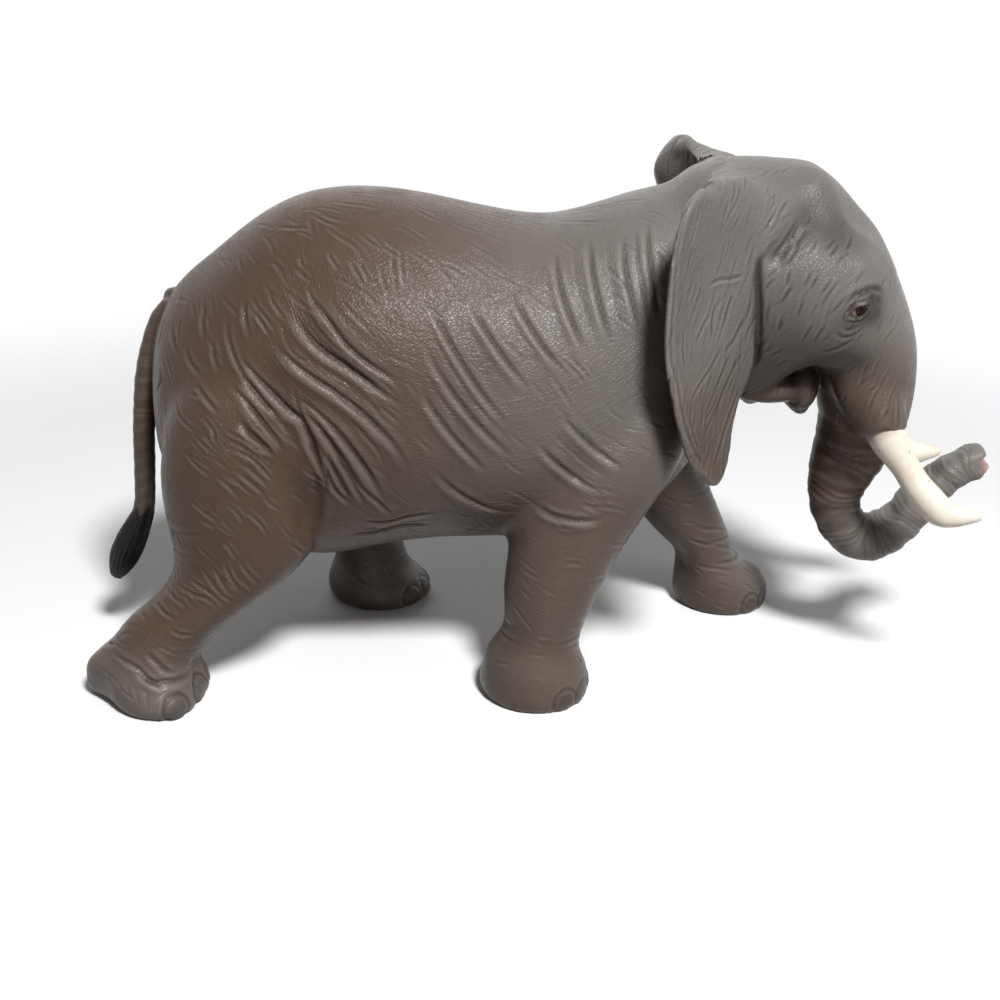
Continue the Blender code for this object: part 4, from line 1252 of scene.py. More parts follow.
def pink_share(points, owner):
    local = in_head_frame(points)
    ahead = (local[:, 0] - FINGER_PLACE[0]) / FINGER_REACH[0]
    rise = (local[:, 2] - FINGER_PLACE[1]) / FINGER_REACH[1]
    finger = np.exp(-(ahead ** 2 + rise ** 2))
    return finger * 1.2 * belongs_to(owner, "trunk")


# Eyes

def refined_near(mesh, places, reach):
    """The mesh with its faces cut finer near the given places."""
    shape = bmesh.new()
    shape.from_mesh(mesh)
    for _ in range(2):
        near = [edge for edge in shape.edges
                if any((edge.verts[0].co - place).length < reach for place in places)]
        bmesh.ops.subdivide_edges(shape, edges=near, cuts=1, use_grid_fill=True)
    shape.to_mesh(mesh)
    shape.free()
    return mesh


EYE_CENTRE = (27.0, 15.55, 4.8)        # in the head's frame, millimetres, left side
EYE_BALL = 2.15 * MM
EYE_SINK = 0.12 * MM
EYE_BACK = 0.45 * MM
EYE_FLOOR = 1.5 * MM
LID_HALF = 1.75
LID_UPPER = 0.74
LID_LOWER = 0.80
EYE_PIXEL = (859.5, 312.0)
EYE_CORNERS = ((849.0, 315.5), (870.0, 305.0))
EYE_LOOK_AHEAD = 0.52                  # along the eye, against 1 outwards
EYE_FINE_REACH = 3.6 * MM              # skin round the eye that has finer faces


def eye_frames(sculptor):
    """Middle of each eye's opening on the skin, with its outward, long and upward ways."""
    middle, _ = sculptor.cast(CAMERA_PLACE, photo_ray(*EYE_PIXEL))
    ends = [sculptor.cast(CAMERA_PLACE, photo_ray(*pixel))[0] for pixel in EYE_CORNERS]
    centre = in_head_place(EYE_CENTRE, -1)
    outward = (middle - centre).normalized()
    long_way = ends[1] - ends[0]
    long_way = (long_way - outward * long_way.dot(outward)).normalized()
    frames = {-1: (middle, outward, long_way)}
    to_left = [mirror_head(point) for point in (middle, middle + outward, middle + long_way)]
    place, _, _, _ = sculptor.tree.find_nearest(to_left[0])
    frames[1] = (place, to_left[1] - to_left[0], to_left[2] - to_left[0])
    return frames


def eye_plane(points, frame_of_eye):
    middle, outward, long_way = (np.array(item) for item in frame_of_eye)
    upward = np.cross(outward, long_way)
    if upward[2] < 0:
        upward = -upward
    away = (points - middle) / MM
    return away @ long_way, away @ upward, away @ outward


def carve_eyes(points, frames):
    """Almond openings with a lid edge round them; gives the painted shade in and round each opening.
    """
    dark = np.zeros(len(points))
    for side, frame_of_eye in frames.items():
        along, rise, out = eye_plane(points, frame_of_eye)
        near = (np.abs(along) < 7) & (np.abs(rise) < 5) & (np.abs(out) < 3)
        a, b = along[near], rise[near]
        bow = np.maximum(1 - (np.abs(a) / LID_HALF) ** 1.7, 0)
        inside = np.minimum(LID_UPPER * bow - b, b + LID_LOWER * bow)
        beyond = np.hypot(np.maximum(np.abs(a) - LID_HALF, 0), b)
        inside = np.where(np.abs(a) > LID_HALF, -beyond, inside)
        t = np.clip((inside + 0.10) / 0.24, 0, 1)
        hole = t * t * (3 - 2 * t)
        lid = np.exp(-((inside + 0.42) / 0.24) ** 2)
        groove = np.exp(-((inside + 0.95) / 0.22) ** 2)
        lift = (0.22 * lid - 0.10 * groove) * (1 - hole) * np.exp(-(a / 2.6) ** 4)
        outward = np.array(frame_of_eye[1])
        points[near] += outward * (MM * lift - EYE_FLOOR * hole)[:, None]
        # Painted shade round the eye and inside its opening, left off a patch on the upper lid where
        # light falls
        shade = 1.15 * np.exp(-((a - 1.0) / 3.2) ** 2 - ((b + 0.2) / 2.1) ** 2)
        pale = np.exp(-((a - 0.9) / 0.7) ** 2 - ((b - 1.05) / 0.35) ** 2)
        dark[near] = np.maximum(hole, np.maximum(0.6 * groove, shade * (1 - pale)))
    return dark


def build_eye(side, frame_of_eye):
    """Glossy ball with a low cornea; the attribute "gaze" runs from the pupil outwards."""
    middle, outward, long_way = frame_of_eye
    shape = bmesh.new()
    bmesh.ops.create_uvsphere(shape, u_segments=48, v_segments=32, radius=EYE_BALL)
    gaze = shape.verts.layers.float.new("gaze")
    for vert in shape.verts:
        angle = vert.co.angle(Vector((0, 0, 1)), 0)
        vert[gaze] = angle / math.pi
        vert.co *= 1 + 0.04 * math.exp(-(angle / 0.38) ** 2)
    look = (outward + long_way * EYE_LOOK_AHEAD).normalized()
    turn = look.to_track_quat("Z", "Y").to_matrix().to_4x4()
    centre = middle - outward * (EYE_SINK + EYE_BALL) - long_way * EYE_BACK
    bmesh.ops.transform(shape, matrix=Matrix.Translation(centre) @ turn, verts=shape.verts)
    mesh = mesh_from(shape, EYES[side])
    mesh.shade_smooth()
    return new_piece(f"{EYES[side]}_glossy", mesh)


# Tusks

TUSK_ROOT = (35.4, 11.27, -17.79)      # in the head's frame, millimetres, left side
TUSK_WAY = (0.511, 0.284, -0.811)
TUSK_ROOT_RADIUS = 3.45
TUSK_LENGTH = 19                       # along that way, to its tip
TUSK_SLEEVE = 3.2                      # length of full radius inside the pad
TIP_FULLNESS = {-1: 0.18, 1: 0.40}     # how much thicker the outer half is than the solid
TIP_MOVE = {-1: (-0.9, 0.0, -1.1), 1: (-1.1, 0.0, -0.5)}
TIP_RADIUS = 0.95
TUSK_CELL = 0.22 * MM


def slice_middles(points, along):
    """Middle of the slice that each point lies in."""
    middle = np.zeros_like(points)
    for first in np.arange(along.min(), along.max() + 1, 0.8):
        near = (along >= first - 0.4) & (along < first + 1.2)
        here = (along >= first) & (along < first + 0.8)
        if here.any():
            middle[here] = (points[near].min(0) + points[near].max(0)) / 2
    return middle


def build_tusk(side):
    """Ivory tusk whose root is at its full size some way into the pad."""
    piece = grown_copy(TUSKS[side], 2)
    turn = np.array(HEAD.to_3x3())
    root = np.array(in_head_place(TUSK_ROOT, side))
    way = turn @ np.array((TUSK_WAY[0], side * TUSK_WAY[1], TUSK_WAY[2]))
    points = get_array(piece.data.vertices, "co", 3).astype(float)
    away = points - root
    along = away @ way / MM
    radial = away - np.outer(along * MM, way)
    size = np.linalg.norm(radial, axis=1) / MM
    sleeve = (along < 0.35) & (along > -TUSK_SLEEVE) & (size > 1.2)
    radial[sleeve] *= (TUSK_ROOT_RADIUS / size[sleeve])[:, None]
    points[sleeve] = root + np.outer(along[sleeve] * MM, way) + radial[sleeve]
    piece.data.vertices.foreach_set("co", points.ravel())
    piece.data.update()
    waist = 0.17 * np.exp(-((along - 8) / 5.0) ** 2)
    slim = 1 - waist + TIP_FULLNESS[side] * smooth_step(along, 9, TUSK_LENGTH)
    middle = slice_middles(points, along)
    points = middle + (points - middle) * np.where(along > 0.4, slim, 1)[:, None]
    piece.data.vertices.foreach_set("co", points.ravel())
    mesh = blunted(piece, root, side)
    surface = Surface(mesh)
    surface.points = surface.smooth(surface.points, 10, 0.5)
    surface.write()
    set_values(mesh, "reach", (surface.points - root) @ way / MM / TUSK_LENGTH)
    mesh.shade_smooth()
    return new_piece(f"{TUSKS[side]}_ivory", mesh)


def blunted(piece, root, side):
    """The tusk with its outer end moved a little and made round."""
    points = get_array(piece.data.vertices, "co", 3).astype(float)
    far = np.linalg.norm(points - root, axis=1) / MM
    points += smooth_step(far, 14, far.max())[:, None] * np.array(TIP_MOVE[side]) * MM
    piece.data.vertices.foreach_set("co", points.ravel())
    tip = points[far.argmax()]
    near = np.linalg.norm(points - tip, axis=1) < 4 * MM
    inward = points[near].mean(0) - tip
    inward /= np.linalg.norm(inward)
    middle = Vector(tip + inward * 1.35 * TIP_RADIUS * MM)
    ball = ellipsoid("tip_ball", Matrix.Translation(middle), (TIP_RADIUS,) * 3)
    return remeshed(joined([piece, ball]), TUSK_CELL)


# Parting the skin

EAR_TOP = (23.0, 14.5, 90.5)           # where ear, neck and head meet; millimetres
EAR_TOP_REACH = 3.6 * MM
WALL_SINK = 1.0 * MM                   # how far the wall starts under the skin
HALF_WALL_SINK = 0.3 * MM              # how far the torso halves' walls lie inside their seam
HALF_SIDES = {"torso_right": -1, "torso_left": 1}
VOTE_ROUNDS = 3                        # how often neighbours vote on whose face it is


def nearest_owners(points, grown):
    """Which solid lies nearest to each point of the skin."""
    places = np.vstack([get_array(piece.data.vertices, "co", 3) for piece in grown.values()])
    owner = np.concatenate([np.full(len(piece.data.vertices), SKIN_NODES.index(name))
                            for name, piece in grown.items()])
    tree = KDTree(len(places))
    for i, place in enumerate(places):
        tree.insert(place, i)
    tree.balance()
    found = [tree.find(point)[1] for point in points]
    return owner[found]


def give_ear_tops_to_head(points, owner):
    for side in EYES:
        meeting = np.array((EAR_TOP[0], side * EAR_TOP[1], EAR_TOP[2])) * MM
        near = np.linalg.norm(points - meeting, axis=1) < EAR_TOP_REACH
        owner[near] = SKIN_NODES.index("head")


def soft_owners(skin, owner):
    """The owners with smooth borders between them."""
    shares = np.zeros((len(owner), len(SKIN_NODES)))
    shares[np.arange(len(owner)), owner] = 1
    return skin.smooth(shares, BORDER_ROUNDS, BORDER_WEIGHT)


def part_skin(skin, shares, normals):
    """Splits the skin into one object for each solid, with the normals it had as one surface."""
    mesh = skin.mesh
    corners = get_array(mesh.loops, "vertex_index", 1, np.int32)
    starts = get_array(mesh.polygons, "loop_start", 1, np.int32)
    face_share = np.add.reduceat(shares[corners], starts, axis=0)
    lengths = np.diff(np.append(starts, len(corners)))
    for _ in range(VOTE_ROUNDS):
        label = np.repeat(face_share.argmax(1), lengths)
        votes = np.stack([np.bincount(corners, weights=label == index, minlength=len(shares))
                          for index in range(len(SKIN_NODES))], axis=1)
        face_share = np.add.reduceat(votes[corners], starts, axis=0)
    mesh.materials.clear()
    for name in SKIN_NODES:
        mesh.materials.append(bpy.data.materials.new(name))
    mesh.polygons.foreach_set("material_index", face_share.argmax(1).astype(np.int32))
    kept = mesh.attributes.new("skin_normal", "FLOAT_VECTOR", "POINT")
    kept.data.foreach_set("vector", normals.astype(np.float32).ravel())
    whole = new_piece("skin_whole", mesh)
    bpy.context.view_layer.objects.active = whole
    whole.select_set(True)
    bpy.ops.object.mode_set(mode="EDIT")
    bpy.ops.mesh.separate(type="MATERIAL")
    bpy.ops.object.mode_set(mode="OBJECT")
    pieces = {}
    for piece in list(bpy.context.scene.collection.objects):
        if piece.name.startswith("skin_whole"):
            used = piece.data.polygons[0].material_index
            name = piece.data.materials[used].name
            pieces[name] = piece
    return pieces


def close_piece(name, piece):
    """Closes the cut edges with a wall inside, and gives back the normals of the whole skin."""
    shape = bmesh.new()
    shape.from_mesh(piece.data)
    outward = shape.verts.layers.float_vector["skin_normal"]
    rim = [edge for edge in shape.edges if edge.is_boundary]
    for item in bmesh.ops.extrude_edge_only(shape, edges=rim)["geom"]:
        if isinstance(item, bmesh.types.BMVert):
            item.co -= item[outward] * WALL_SINK
    rim = [edge for edge in shape.edges if edge.is_boundary]
    walls = bmesh.ops.holes_fill(shape, edges=rim, sides=0)["faces"]
    fans = bmesh.ops.poke(shape, faces=walls)
    inward = HALF_SIDES.get(name, 0) * HALF_WALL_SINK
    for vert in fans["verts"]:
        vert.co.y += inward
    shape.to_mesh(piece.data)
    shape.free()
    piece.data.materials.clear()
    piece.name = f"{name}_skin"
    piece.data.name = piece.name
    piece.data.shade_smooth()
    normals = get_array(piece.data.attributes["skin_normal"].data, "vector", 3)
    piece.data.normals_split_custom_set_from_vertices(normals)


# Materials

def add(tree, kind, sockets=None, **settings):
    """New shader node with its settings; a socket given as a value is linked."""
    made = tree.nodes.new(kind)
    for name, value in settings.items():
        setattr(made, name, value)
    for name, value in (sockets or {}).items():
        if isinstance(value, bpy.types.NodeSocket):
            tree.links.new(value, made.inputs[name])
        else:
            made.inputs[name].default_value = value
    return made


def math_node(tree, operation, first, second=0.0, clamp=False):
    return add(tree, "ShaderNodeMath", {0: first, 1: second}, operation=operation,
               use_clamp=clamp).outputs[0]


def mixed(tree, share, first, second, blend="MIX"):
    made = add(tree, "ShaderNodeMix", data_type="RGBA", blend_type=blend)
    for socket, value in (("Factor_Float", share), ("A_Color", first), ("B_Color", second)):
        target = next(item for item in made.inputs if item.identifier == socket)
        if isinstance(value, bpy.types.NodeSocket):
            tree.links.new(value, target)
        else:
            target.default_value = value
    return next(item for item in made.outputs if item.identifier == "Result_Color")


def ranged(tree, value, low, high, to_low=0.0, to_high=1.0):
    made = add(tree, "ShaderNodeMapRange", {"Value": value, "From Min": low, "From Max": high,
                                            "To Min": to_low, "To Max": to_high})
    return made.outputs["Result"]


def attribute(tree, name):
    return add(tree, "ShaderNodeAttribute", attribute_name=name).outputs["Fac"]


def new_group(name, inputs, outputs):
    group = bpy.data.node_groups.new(name, "ShaderNodeTree")
    for label, kind, value in inputs:
        socket = group.interface.new_socket(label, in_out="INPUT", socket_type=kind)
        if value is not None:
            socket.default_value = value
    for label, kind in outputs:
        group.interface.new_socket(label, in_out="OUTPUT", socket_type=kind)
    return group, group.nodes.new("NodeGroupInput").outputs, group.nodes.new("NodeGroupOutput")


def cell_grain_group():
    """Fine leathery cells with thin cracks between them, as a height from 0 to 1."""
    group, inputs, outputs = new_group("cell_grain", [
        ("Coords", "NodeSocketVector", None), ("Cell Size", "NodeSocketFloat", 0.9),
        ("Crack Width", "NodeSocketFloat", 0.09)], [("Height", "NodeSocketFloat")])
    per_cell = math_node(group, "DIVIDE", 1 / MM, inputs["Cell Size"])
    wander = add(group, "ShaderNodeTexNoise", {"Vector": inputs["Coords"], "Scale": 700.0})
    shifted = add(group, "ShaderNodeVectorMath", {0: wander.outputs["Color"], 1: (0.0007,) * 3},
                  operation="MULTIPLY")
    place = add(group, "ShaderNodeVectorMath", {0: inputs["Coords"], 1: shifted.outputs[0]})
    cells = add(group, "ShaderNodeTexVoronoi", {"Vector": place.outputs[0], "Scale": per_cell},
                feature="DISTANCE_TO_EDGE")
    plates = ranged(group, cells.outputs["Distance"], 0.0, inputs["Crack Width"])
    dust = add(group, "ShaderNodeTexNoise", {"Vector": inputs["Coords"], "Scale": 2600.0,
                                             "Detail": 3.0})
    grain = math_node(group, "MULTIPLY", dust.outputs["Fac"], 0.35)
    height = math_node(group, "ADD", math_node(group, "MULTIPLY", plates, 0.65), grain)
    group.links.new(height, outputs.inputs["Height"])
    return group


def fine_fold_group():
    """Thin wrinkles that run along the lie of the skin, as a height from 0 to 1."""
    group, inputs, outputs = new_group("fine_folds", [
        ("Flow", "NodeSocketVector", None), ("Line Pitch", "NodeSocketFloat", 0.55),
        ("Line Length", "NodeSocketFloat", 5.0)], [("Height", "NodeSocketFloat")])
    parts = add(group, "ShaderNodeSeparateXYZ", {0: inputs["Flow"]}).outputs
    across = math_node(group, "DIVIDE", parts["X"], inputs["Line Pitch"])
    along = math_node(group, "DIVIDE", parts["Y"], inputs["Line Length"])
    place = add(group, "ShaderNodeCombineXYZ", {"X": across, "Y": along}).outputs[0]
    sway = add(group, "ShaderNodeTexNoise", {"Vector": place, "Scale": 0.25, "Detail": 1.0})
    shift = add(group, "ShaderNodeVectorMath", {0: sway.outputs["Color"], 1: (2.2, 0.6, 0)},
                operation="MULTIPLY")
    place = add(group, "ShaderNodeVectorMath", {0: place, 1: shift.outputs[0]}).outputs[0]
    lines = add(group, "ShaderNodeTexNoise", {"Vector": place, "Scale": 1.0, "Detail": 2.5,
                                              "Roughness": 0.6})
    ridge = math_node(group, "ABSOLUTE", math_node(group, "SUBTRACT", lines.outputs["Fac"], 0.5))
    height = ranged(group, ridge, 0.0, 0.16)
    patch = add(group, "ShaderNodeTexNoise", {"Vector": place, "Scale": 0.12, "Detail": 1.0})
    shown = ranged(group, patch.outputs["Fac"], 0.38, 0.60, 0.15, 1.0)
    strength = math_node(group, "MULTIPLY", shown, parts["Z"])
    group.links.new(math_node(group, "MULTIPLY", height, strength), outputs.inputs["Height"])
    return group


def mottle_group():
    """Cloudy unevenness of paint, from 0 to 1, at two scales."""
    group, inputs, outputs = new_group("paint_mottle", [
        ("Coords", "NodeSocketVector", None), ("Patch Size", "NodeSocketFloat", 9.0)],
        [("Broad", "NodeSocketFloat"), ("Fine", "NodeSocketFloat")])
    per_patch = math_node(group, "DIVIDE", 1 / MM, inputs["Patch Size"])
    broad = add(group, "ShaderNodeTexNoise", {"Vector": inputs["Coords"], "Scale": per_patch,
                                              "Detail": 4.0, "Roughness": 0.6})
    fine_scale = math_node(group, "MULTIPLY", per_patch, 7.0)
    fine = add(group, "ShaderNodeTexNoise", {"Vector": inputs["Coords"], "Scale": fine_scale,
                                             "Detail": 5.0, "Roughness": 0.7})
    for source, name in ((broad, "Broad"), (fine, "Fine")):
        spread = ranged(group, source.outputs["Fac"], 0.3, 0.7)
        group.links.new(spread, outputs.inputs[name])
    return group


def new_material(name):
    material = bpy.data.materials.new(name)
    material.use_nodes = True
    tree = material.node_tree
    return material, tree, tree.nodes["Principled BSDF"]


def placed(tree, group, **sockets):
    made = add(tree, "ShaderNodeGroup", node_tree=group)
    for name, value in sockets.items():
        socket = made.inputs[name.replace("_", " ")]
        if isinstance(value, bpy.types.NodeSocket):
            tree.links.new(value, socket)
        else:
            socket.default_value = value
    return made.outputs


WARM_SKIN = (0.066, 0.040, 0.026, 1)
GREY_SKIN = (0.138, 0.127, 0.119, 1)
# Painted shade for creases, hollows and the eye surroundings
CREASE_SHADE = (0.012, 0.008, 0.006, 1)
# Worn paint and painted highlight on raised skin
WORN_AND_HIGHLIT_EDGE = (0.25, 0.225, 0.20, 1)
NAIL_GREY = (0.050, 0.040, 0.035, 1)
TUFT_BLACK = (0.004, 0.003, 0.0025, 1)
FINGER_PINK = (0.42, 0.24, 0.21, 1)
SKIN_SHINE = 0.20
IVORY_PALE = (0.82, 0.77, 0.68, 1)
IVORY_DEEP = (0.72, 0.65, 0.54, 1)
# Darker towards the root of the tusk
ROOT_DARKENING = (0.30, 0.22, 0.16, 1)
SPECK_BROWN = (0.24, 0.15, 0.11, 1)
TUSK_FLUSH = (0.66, 0.45, 0.38, 1)
EYE_SHINE = 0.12
EYE_ROUGHNESS = 0.10
EYE_RINGS = [        # from the pupil outwards: share of the half turn, and paint
    (0.0, (0.003, 0.002, 0.002, 1)), (0.085, (0.004, 0.002, 0.002, 1)),
    (0.105, (0.060, 0.015, 0.009, 1)), (0.150, (0.045, 0.012, 0.007, 1)),
    (0.170, (0.010, 0.004, 0.003, 1)), (0.200, (0.55, 0.42, 0.33, 1)),
]


def skin_material(grain, mottle, folds):
    material, tree, shader = new_material("painted_vinyl_skin")
    coords = add(tree, "ShaderNodeTexCoord").outputs["Object"]
    cloud = placed(tree, mottle, Coords=coords, Patch_Size=9.0)
    cells = placed(tree, grain, Coords=coords, Cell_Size=0.70, Crack_Width=0.22)
    flow = add(tree, "ShaderNodeAttribute", attribute_name="skin_flow").outputs["Vector"]
    lines = placed(tree, folds, Flow=flow, Line_Pitch=0.75, Line_Length=6.0)
    warm_and_shade = attribute(tree, "warm_and_shade_share")
    colour = mixed(tree, warm_and_shade, GREY_SKIN, WARM_SKIN)
    pale = mixed(tree, 1.0, colour, (1.22, 1.22, 1.20, 1), "MULTIPLY")
    colour = mixed(tree, math_node(tree, "MULTIPLY", cloud["Broad"], 0.75), colour, pale)
    dull = mixed(tree, 1.0, colour, (0.80, 0.77, 0.74, 1), "MULTIPLY")
    colour = mixed(tree, math_node(tree, "MULTIPLY", cloud["Fine"], 0.45), colour, dull)
    # Worn paint and painted highlight on raised skin
    edge = math_node(tree, "MULTIPLY", attribute(tree, "worn_and_highlit_edge"), 0.45)
    colour = mixed(tree, edge, colour, WORN_AND_HIGHLIT_EDGE)
    # Painted shade in creases, hollows and round the eyes
    shade_mix = math_node(tree, "MULTIPLY", attribute(tree, "painted_crease_shade"), 0.80, True)
    colour = mixed(tree, shade_mix, colour, CREASE_SHADE)
    colour = mixed(tree, attribute(tree, "nail_paint"), colour, NAIL_GREY)
    colour = mixed(tree, attribute(tree, "pink_paint"), colour, FINGER_PINK)
    tuft = attribute(tree, "tuft_paint")
    colour = mixed(tree, tuft, colour, TUFT_BLACK)
    tree.links.new(colour, shader.inputs["Base Color"])
    gloss = math_node(tree, "ADD", math_node(tree, "MULTIPLY", cloud["Fine"], 0.16), 0.27)
    gloss = math_node(tree, "ADD", gloss, math_node(tree, "MULTIPLY", shade_mix, 0.15))
    tree.links.new(gloss, shader.inputs["Roughness"])
    shader.inputs["Specular IOR Level"].default_value = SKIN_SHINE
    fine = add(tree, "ShaderNodeBump", {"Height": cells["Height"], "Strength": 0.6,
                                        "Distance": 0.07 * MM})
    bump = add(tree, "ShaderNodeBump", {"Height": lines["Height"], "Strength": 0.6,
                                        "Distance": 0.10 * MM, "Normal": fine.outputs["Normal"]})
    tree.links.new(bump.outputs["Normal"], shader.inputs["Normal"])
    return material


def ivory_material(grain, mottle):
    material, tree, shader = new_material("painted_ivory")
    coords = add(tree, "ShaderNodeTexCoord").outputs["Object"]
    cloud = placed(tree, mottle, Coords=coords, Patch_Size=5.0)
    cells = placed(tree, grain, Coords=coords, Cell_Size=1.4, Crack_Width=0.03)
    colour = mixed(tree, cloud["Broad"], IVORY_PALE, IVORY_DEEP)
    # Darker towards the root of the tusk, where it meets the skin
    root = ranged(tree, attribute(tree, "reach"), 0.10, 0.0, 0.0, 0.75)
    colour = mixed(tree, root, colour, ROOT_DARKENING)
    dots = add(tree, "ShaderNodeTexVoronoi", {"Vector": coords, "Scale": 240.0})
    rough = math_node(tree, "MULTIPLY", cloud["Fine"], 0.05)
    ragged = math_node(tree, "ADD", dots.outputs["Distance"], rough)
    speck = ranged(tree, ragged, 0.10, 0.07, 0.0, 0.6)
    colour = mixed(tree, speck, colour, SPECK_BROWN)
    both = math_node(tree, "MULTIPLY", cloud["Broad"], cloud["Fine"])
    flush = ranged(tree, both, 0.35, 0.8, 0.0, 0.35)
    colour = mixed(tree, flush, colour, TUSK_FLUSH)
    tree.links.new(colour, shader.inputs["Base Color"])
    gloss = math_node(tree, "ADD", math_node(tree, "MULTIPLY", cloud["Fine"], 0.15), 0.28)
    tree.links.new(gloss, shader.inputs["Roughness"])
    bump = add(tree, "ShaderNodeBump", {"Height": cells["Height"], "Strength": 0.25,
                                        "Distance": 0.04 * MM})
    tree.links.new(bump.outputs["Normal"], shader.inputs["Normal"])
    return material


def eye_material(mottle):
    material, tree, shader = new_material("glossy_eye")
    coords = add(tree, "ShaderNodeTexCoord").outputs["Object"]
    cloud = placed(tree, mottle, Coords=coords, Patch_Size=0.6)
    ramp = add(tree, "ShaderNodeValToRGB", {"Fac": attribute(tree, "gaze")})
    for place, paint in EYE_RINGS[1:-1]:
        ramp.color_ramp.elements.new(place).color = paint
    ramp.color_ramp.elements[0].color = EYE_RINGS[0][1]
    ramp.color_ramp.elements[-1].color = EYE_RINGS[-1][1]
    ramp.color_ramp.elements[-1].position = EYE_RINGS[-1][0]
    dim = mixed(tree, 1.0, ramp.outputs["Color"], (0.6, 0.5, 0.45, 1), "MULTIPLY")
    colour = mixed(tree, cloud["Fine"], ramp.outputs["Color"], dim)
    tree.links.new(colour, shader.inputs["Base Color"])
    shader.inputs["Roughness"].default_value = EYE_ROUGHNESS
    shader.inputs["Specular IOR Level"].default_value = EYE_SHINE
    return material


# Stage and light

FLOOR_REACH = 4.0
WHITE_FROM = 0.15
WHITE_BY = 0.30
FLOOR_SEEN = (0.93, 0.93, 0.93, 1)
FLOOR_LIT = (0.28, 0.27, 0.26, 1)      # what the figure gets back from the floor
ROOM_LIGHT = 0.12
LIGHTS = [           # name, place, size and power
    ("key", (0.12, -0.44, 0.60), 0.14, 6.8),
    ("fill", (0.60, -0.35, 0.25), 0.4, 0.5),
    ("back", (-0.15, 0.55, 0.40), 0.6, 0.7),
]


def ray_flag(tree):
    """1 for camera, glossy and transmission rays."""
    paths = add(tree, "ShaderNodeLightPath").outputs
    seen = math_node(tree, "MAXIMUM", paths["Is Camera Ray"], paths["Is Glossy Ray"])
    return math_node(tree, "MAXIMUM", seen, paths["Is Transmission Ray"])


def make_floor():
    shape = bmesh.new()
    bmesh.ops.create_grid(shape, x_segments=1, y_segments=1, size=FLOOR_REACH)
    mesh = mesh_from(shape, "floor")
    floor = new_piece("floor", mesh)
    material, tree, shader = new_material("pale_floor")
    seen = ray_flag(tree)
    tree.links.new(mixed(tree, seen, FLOOR_LIT, FLOOR_SEEN), shader.inputs["Base Color"])
    shader.inputs["Roughness"].default_value = 0.9
    shader.inputs["Specular IOR Level"].default_value = 0.1
    coords = add(tree, "ShaderNodeTexCoord").outputs["Object"]
    far = add(tree, "ShaderNodeVectorMath", {0: coords}, operation="LENGTH").outputs["Value"]
    fade = add(tree, "ShaderNodeMapRange", {"Value": far, "From Min": WHITE_FROM,
                                            "From Max": WHITE_BY}, interpolation_type="SMOOTHSTEP")
    share = math_node(tree, "MULTIPLY", fade.outputs["Result"], seen)
    white = add(tree, "ShaderNodeEmission", {"Color": (1, 1, 1, 1), "Strength": 1.0})
    blend = add(tree, "ShaderNodeMixShader", {0: share, 1: shader.outputs[0], 2: white.outputs[0]})
    tree.links.new(blend.outputs[0], tree.nodes["Material Output"].inputs["Surface"])
    mesh.materials.append(material)


def make_light(name, place, size, power):
    data = bpy.data.lights.new(name, "AREA")
    data.shape = "DISK"
    data.size = size
    data.energy = power
    lamp = link(bpy.data.objects.new(name, data))
    lamp.location = place
    lamp.rotation_euler = (-Vector(place)).to_track_quat("-Z", "Y").to_euler()


def make_world():
    world = bpy.data.worlds.new("plain_room")
    bpy.context.scene.world = world
    world.use_nodes = True
    tree = world.node_tree
    room = tree.nodes["Background"]
    room.inputs["Color"].default_value = (1, 1, 1, 1)
    room.inputs["Strength"].default_value = ROOM_LIGHT
    white = add(tree, "ShaderNodeBackground", {"Color": (1, 1, 1, 1), "Strength": 1.0})
    seen = ray_flag(tree)
    blend = add(tree, "ShaderNodeMixShader", {0: seen, 1: room.outputs[0], 2: white.outputs[0]})
    tree.links.new(blend.outputs[0], tree.nodes["World Output"].inputs["Surface"])


# The whole figure

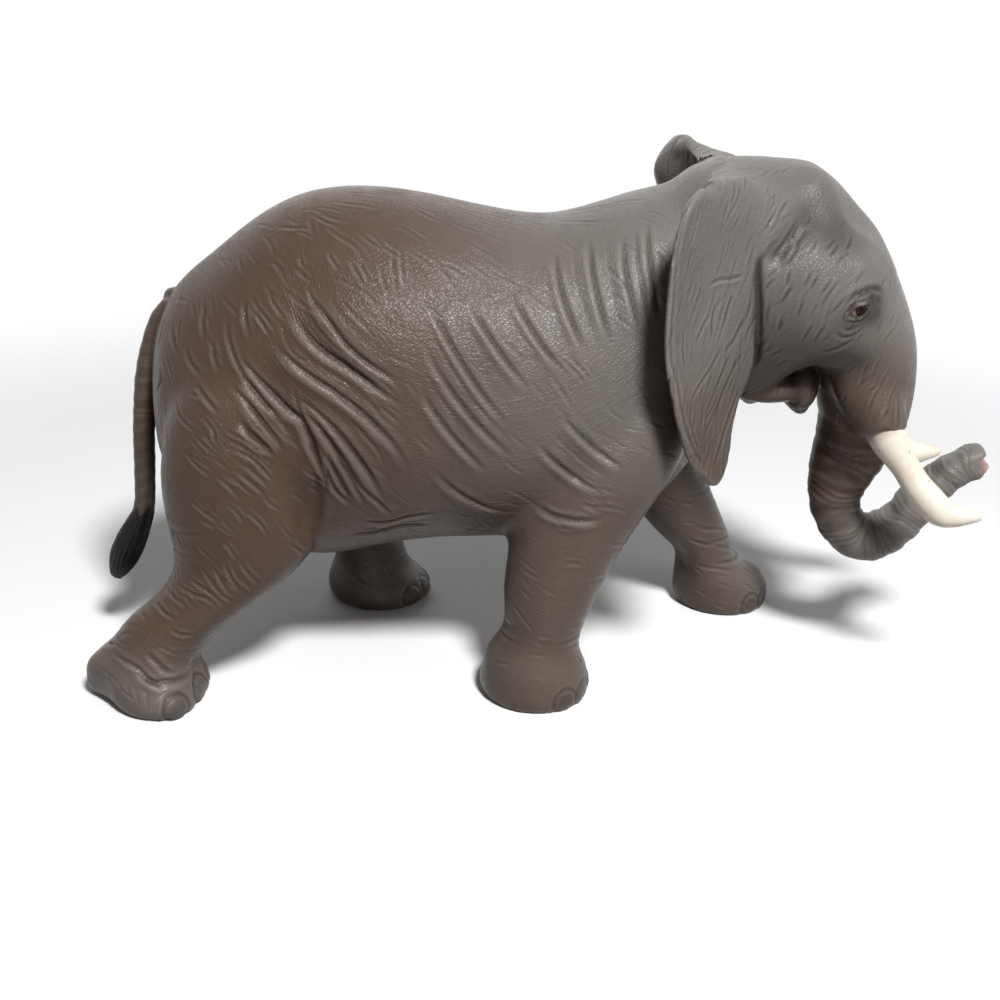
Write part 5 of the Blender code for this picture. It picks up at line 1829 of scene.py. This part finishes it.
def main():
    make_camera()
    grown = {name: grown_copy(name, 2) for name in SKIN_NODES}
    skin = build_base_skin(grown)
    eye_places = [in_head_place(EYE_CENTRE, side) for side in EYES]
    skin = Surface(refined_near(skin.mesh, eye_places, EYE_FINE_REACH))
    owner = nearest_owners(skin.points, grown)
    give_ear_tops_to_head(skin.points, owner)
    for piece in grown.values():
        bpy.data.objects.remove(piece)
    shares = soft_owners(skin, owner)
    owner = shares.argmax(1)
    axes = {name: LegAxis(name) for name in LEGS}
    sculptor = Sculptor(skin)
    shape_corrections(sculptor)
    shape_hollows(sculptor)
    carve_body(sculptor, axes)
    carve_head(sculptor)
    carve_leg_rings(sculptor, axes)
    nails = carve_nails(sculptor, axes)
    flow = skin_flow(sculptor, owner)
    carve_trunk(sculptor, owner, flow)
    tuft = carve_tail(sculptor, owner)
    fine_wrinkles(sculptor, owner)
    frames = eye_frames(sculptor)
    skin.points = skin.points + sculptor.normals * sculptor.height[:, None] + sculptor.shift
    eye_shade = carve_eyes(skin.points, frames)
    skin.points[:, 2] = np.maximum(skin.points[:, 2], 0.0)
    normals = skin.normals()
    broad = skin.smooth(skin.points, HOLLOW_ROUNDS, SMOOTH_WEIGHT)
    hollow = ((broad - skin.points) * normals).sum(1) / MM
    sunk = np.clip(hollow / HOLLOW_DEPTH, 0, 1)
    ridge = np.clip(-hollow / RIDGE_HEIGHT, 0, 1)
    # Painted shade: carved creases, sunken skin and the eye surroundings darken the paint
    crease = np.clip(sculptor.crease, 0, 1) * CREASE_SHADE_SHARE + sunk * HOLLOW_SHADE_SHARE + eye_shade
    border = np.clip((shares.max(1) - 0.5) * 2.5, 0, 1)
    flow[:, 2] *= border
    kept = skin.mesh.attributes.new("skin_flow", "FLOAT_VECTOR", "POINT")
    kept.data.foreach_set("vector", flow.astype(np.float32).ravel())
    set_values(skin.mesh, "painted_crease_shade", crease)
    # Worn paint and painted highlight on raised skin and the trunk rings
    set_values(skin.mesh, "worn_and_highlit_edge", WORN_AND_HIGHLIGHT_SHARE * ridge + sculptor.wear_and_highlight)
    on_trunk = belongs_to(owner, "trunk")
    trunk_share = np.where(on_trunk, smooth_step(flow[:, 0], *GREY_TRUNK_FADE), 0)
    # Warm brown paint, with painted shade low on the face and painted light on surfaces that face up
    warm_and_shade = warm_and_shade_share(skin.points, normals, owner, trunk_share)
    warm_and_shade = skin.smooth(warm_and_shade[:, None], WARM_ROUNDS, WARM_WEIGHT)[:, 0]
    set_values(skin.mesh, "warm_and_shade_share", warm_and_shade)
    set_values(skin.mesh, "nail_paint", nails)
    set_values(skin.mesh, "tuft_paint", tuft)
    set_values(skin.mesh, "pink_paint", pink_share(skin.points, owner))
    pieces = part_skin(skin, shares, normals)
    grain, mottle = cell_grain_group(), mottle_group()
    skin_paint = skin_material(grain, mottle, fine_fold_group())
    for name, piece in pieces.items():
        close_piece(name, piece)
        piece.data.materials.append(skin_paint)
        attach(piece, "root")
        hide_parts(name)
    ivory = ivory_material(grain, mottle)
    glossy = eye_material(mottle)
    for side in EYES:
        tusk = build_tusk(side)
        eye = build_eye(side, frames[side])
        for piece, node, paint, slot in ((tusk, TUSKS[side], ivory, "ivory"),
                                         (eye, EYES[side], glossy, "dark_eye")):
            piece.data.materials.clear()
            piece.data.materials.append(paint)
            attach(piece, "root")
            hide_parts(node)
    make_floor()
    for light in LIGHTS:
        make_light(*light)
    make_world()
    bpy.context.scene.view_settings.view_transform = "Standard"


main()
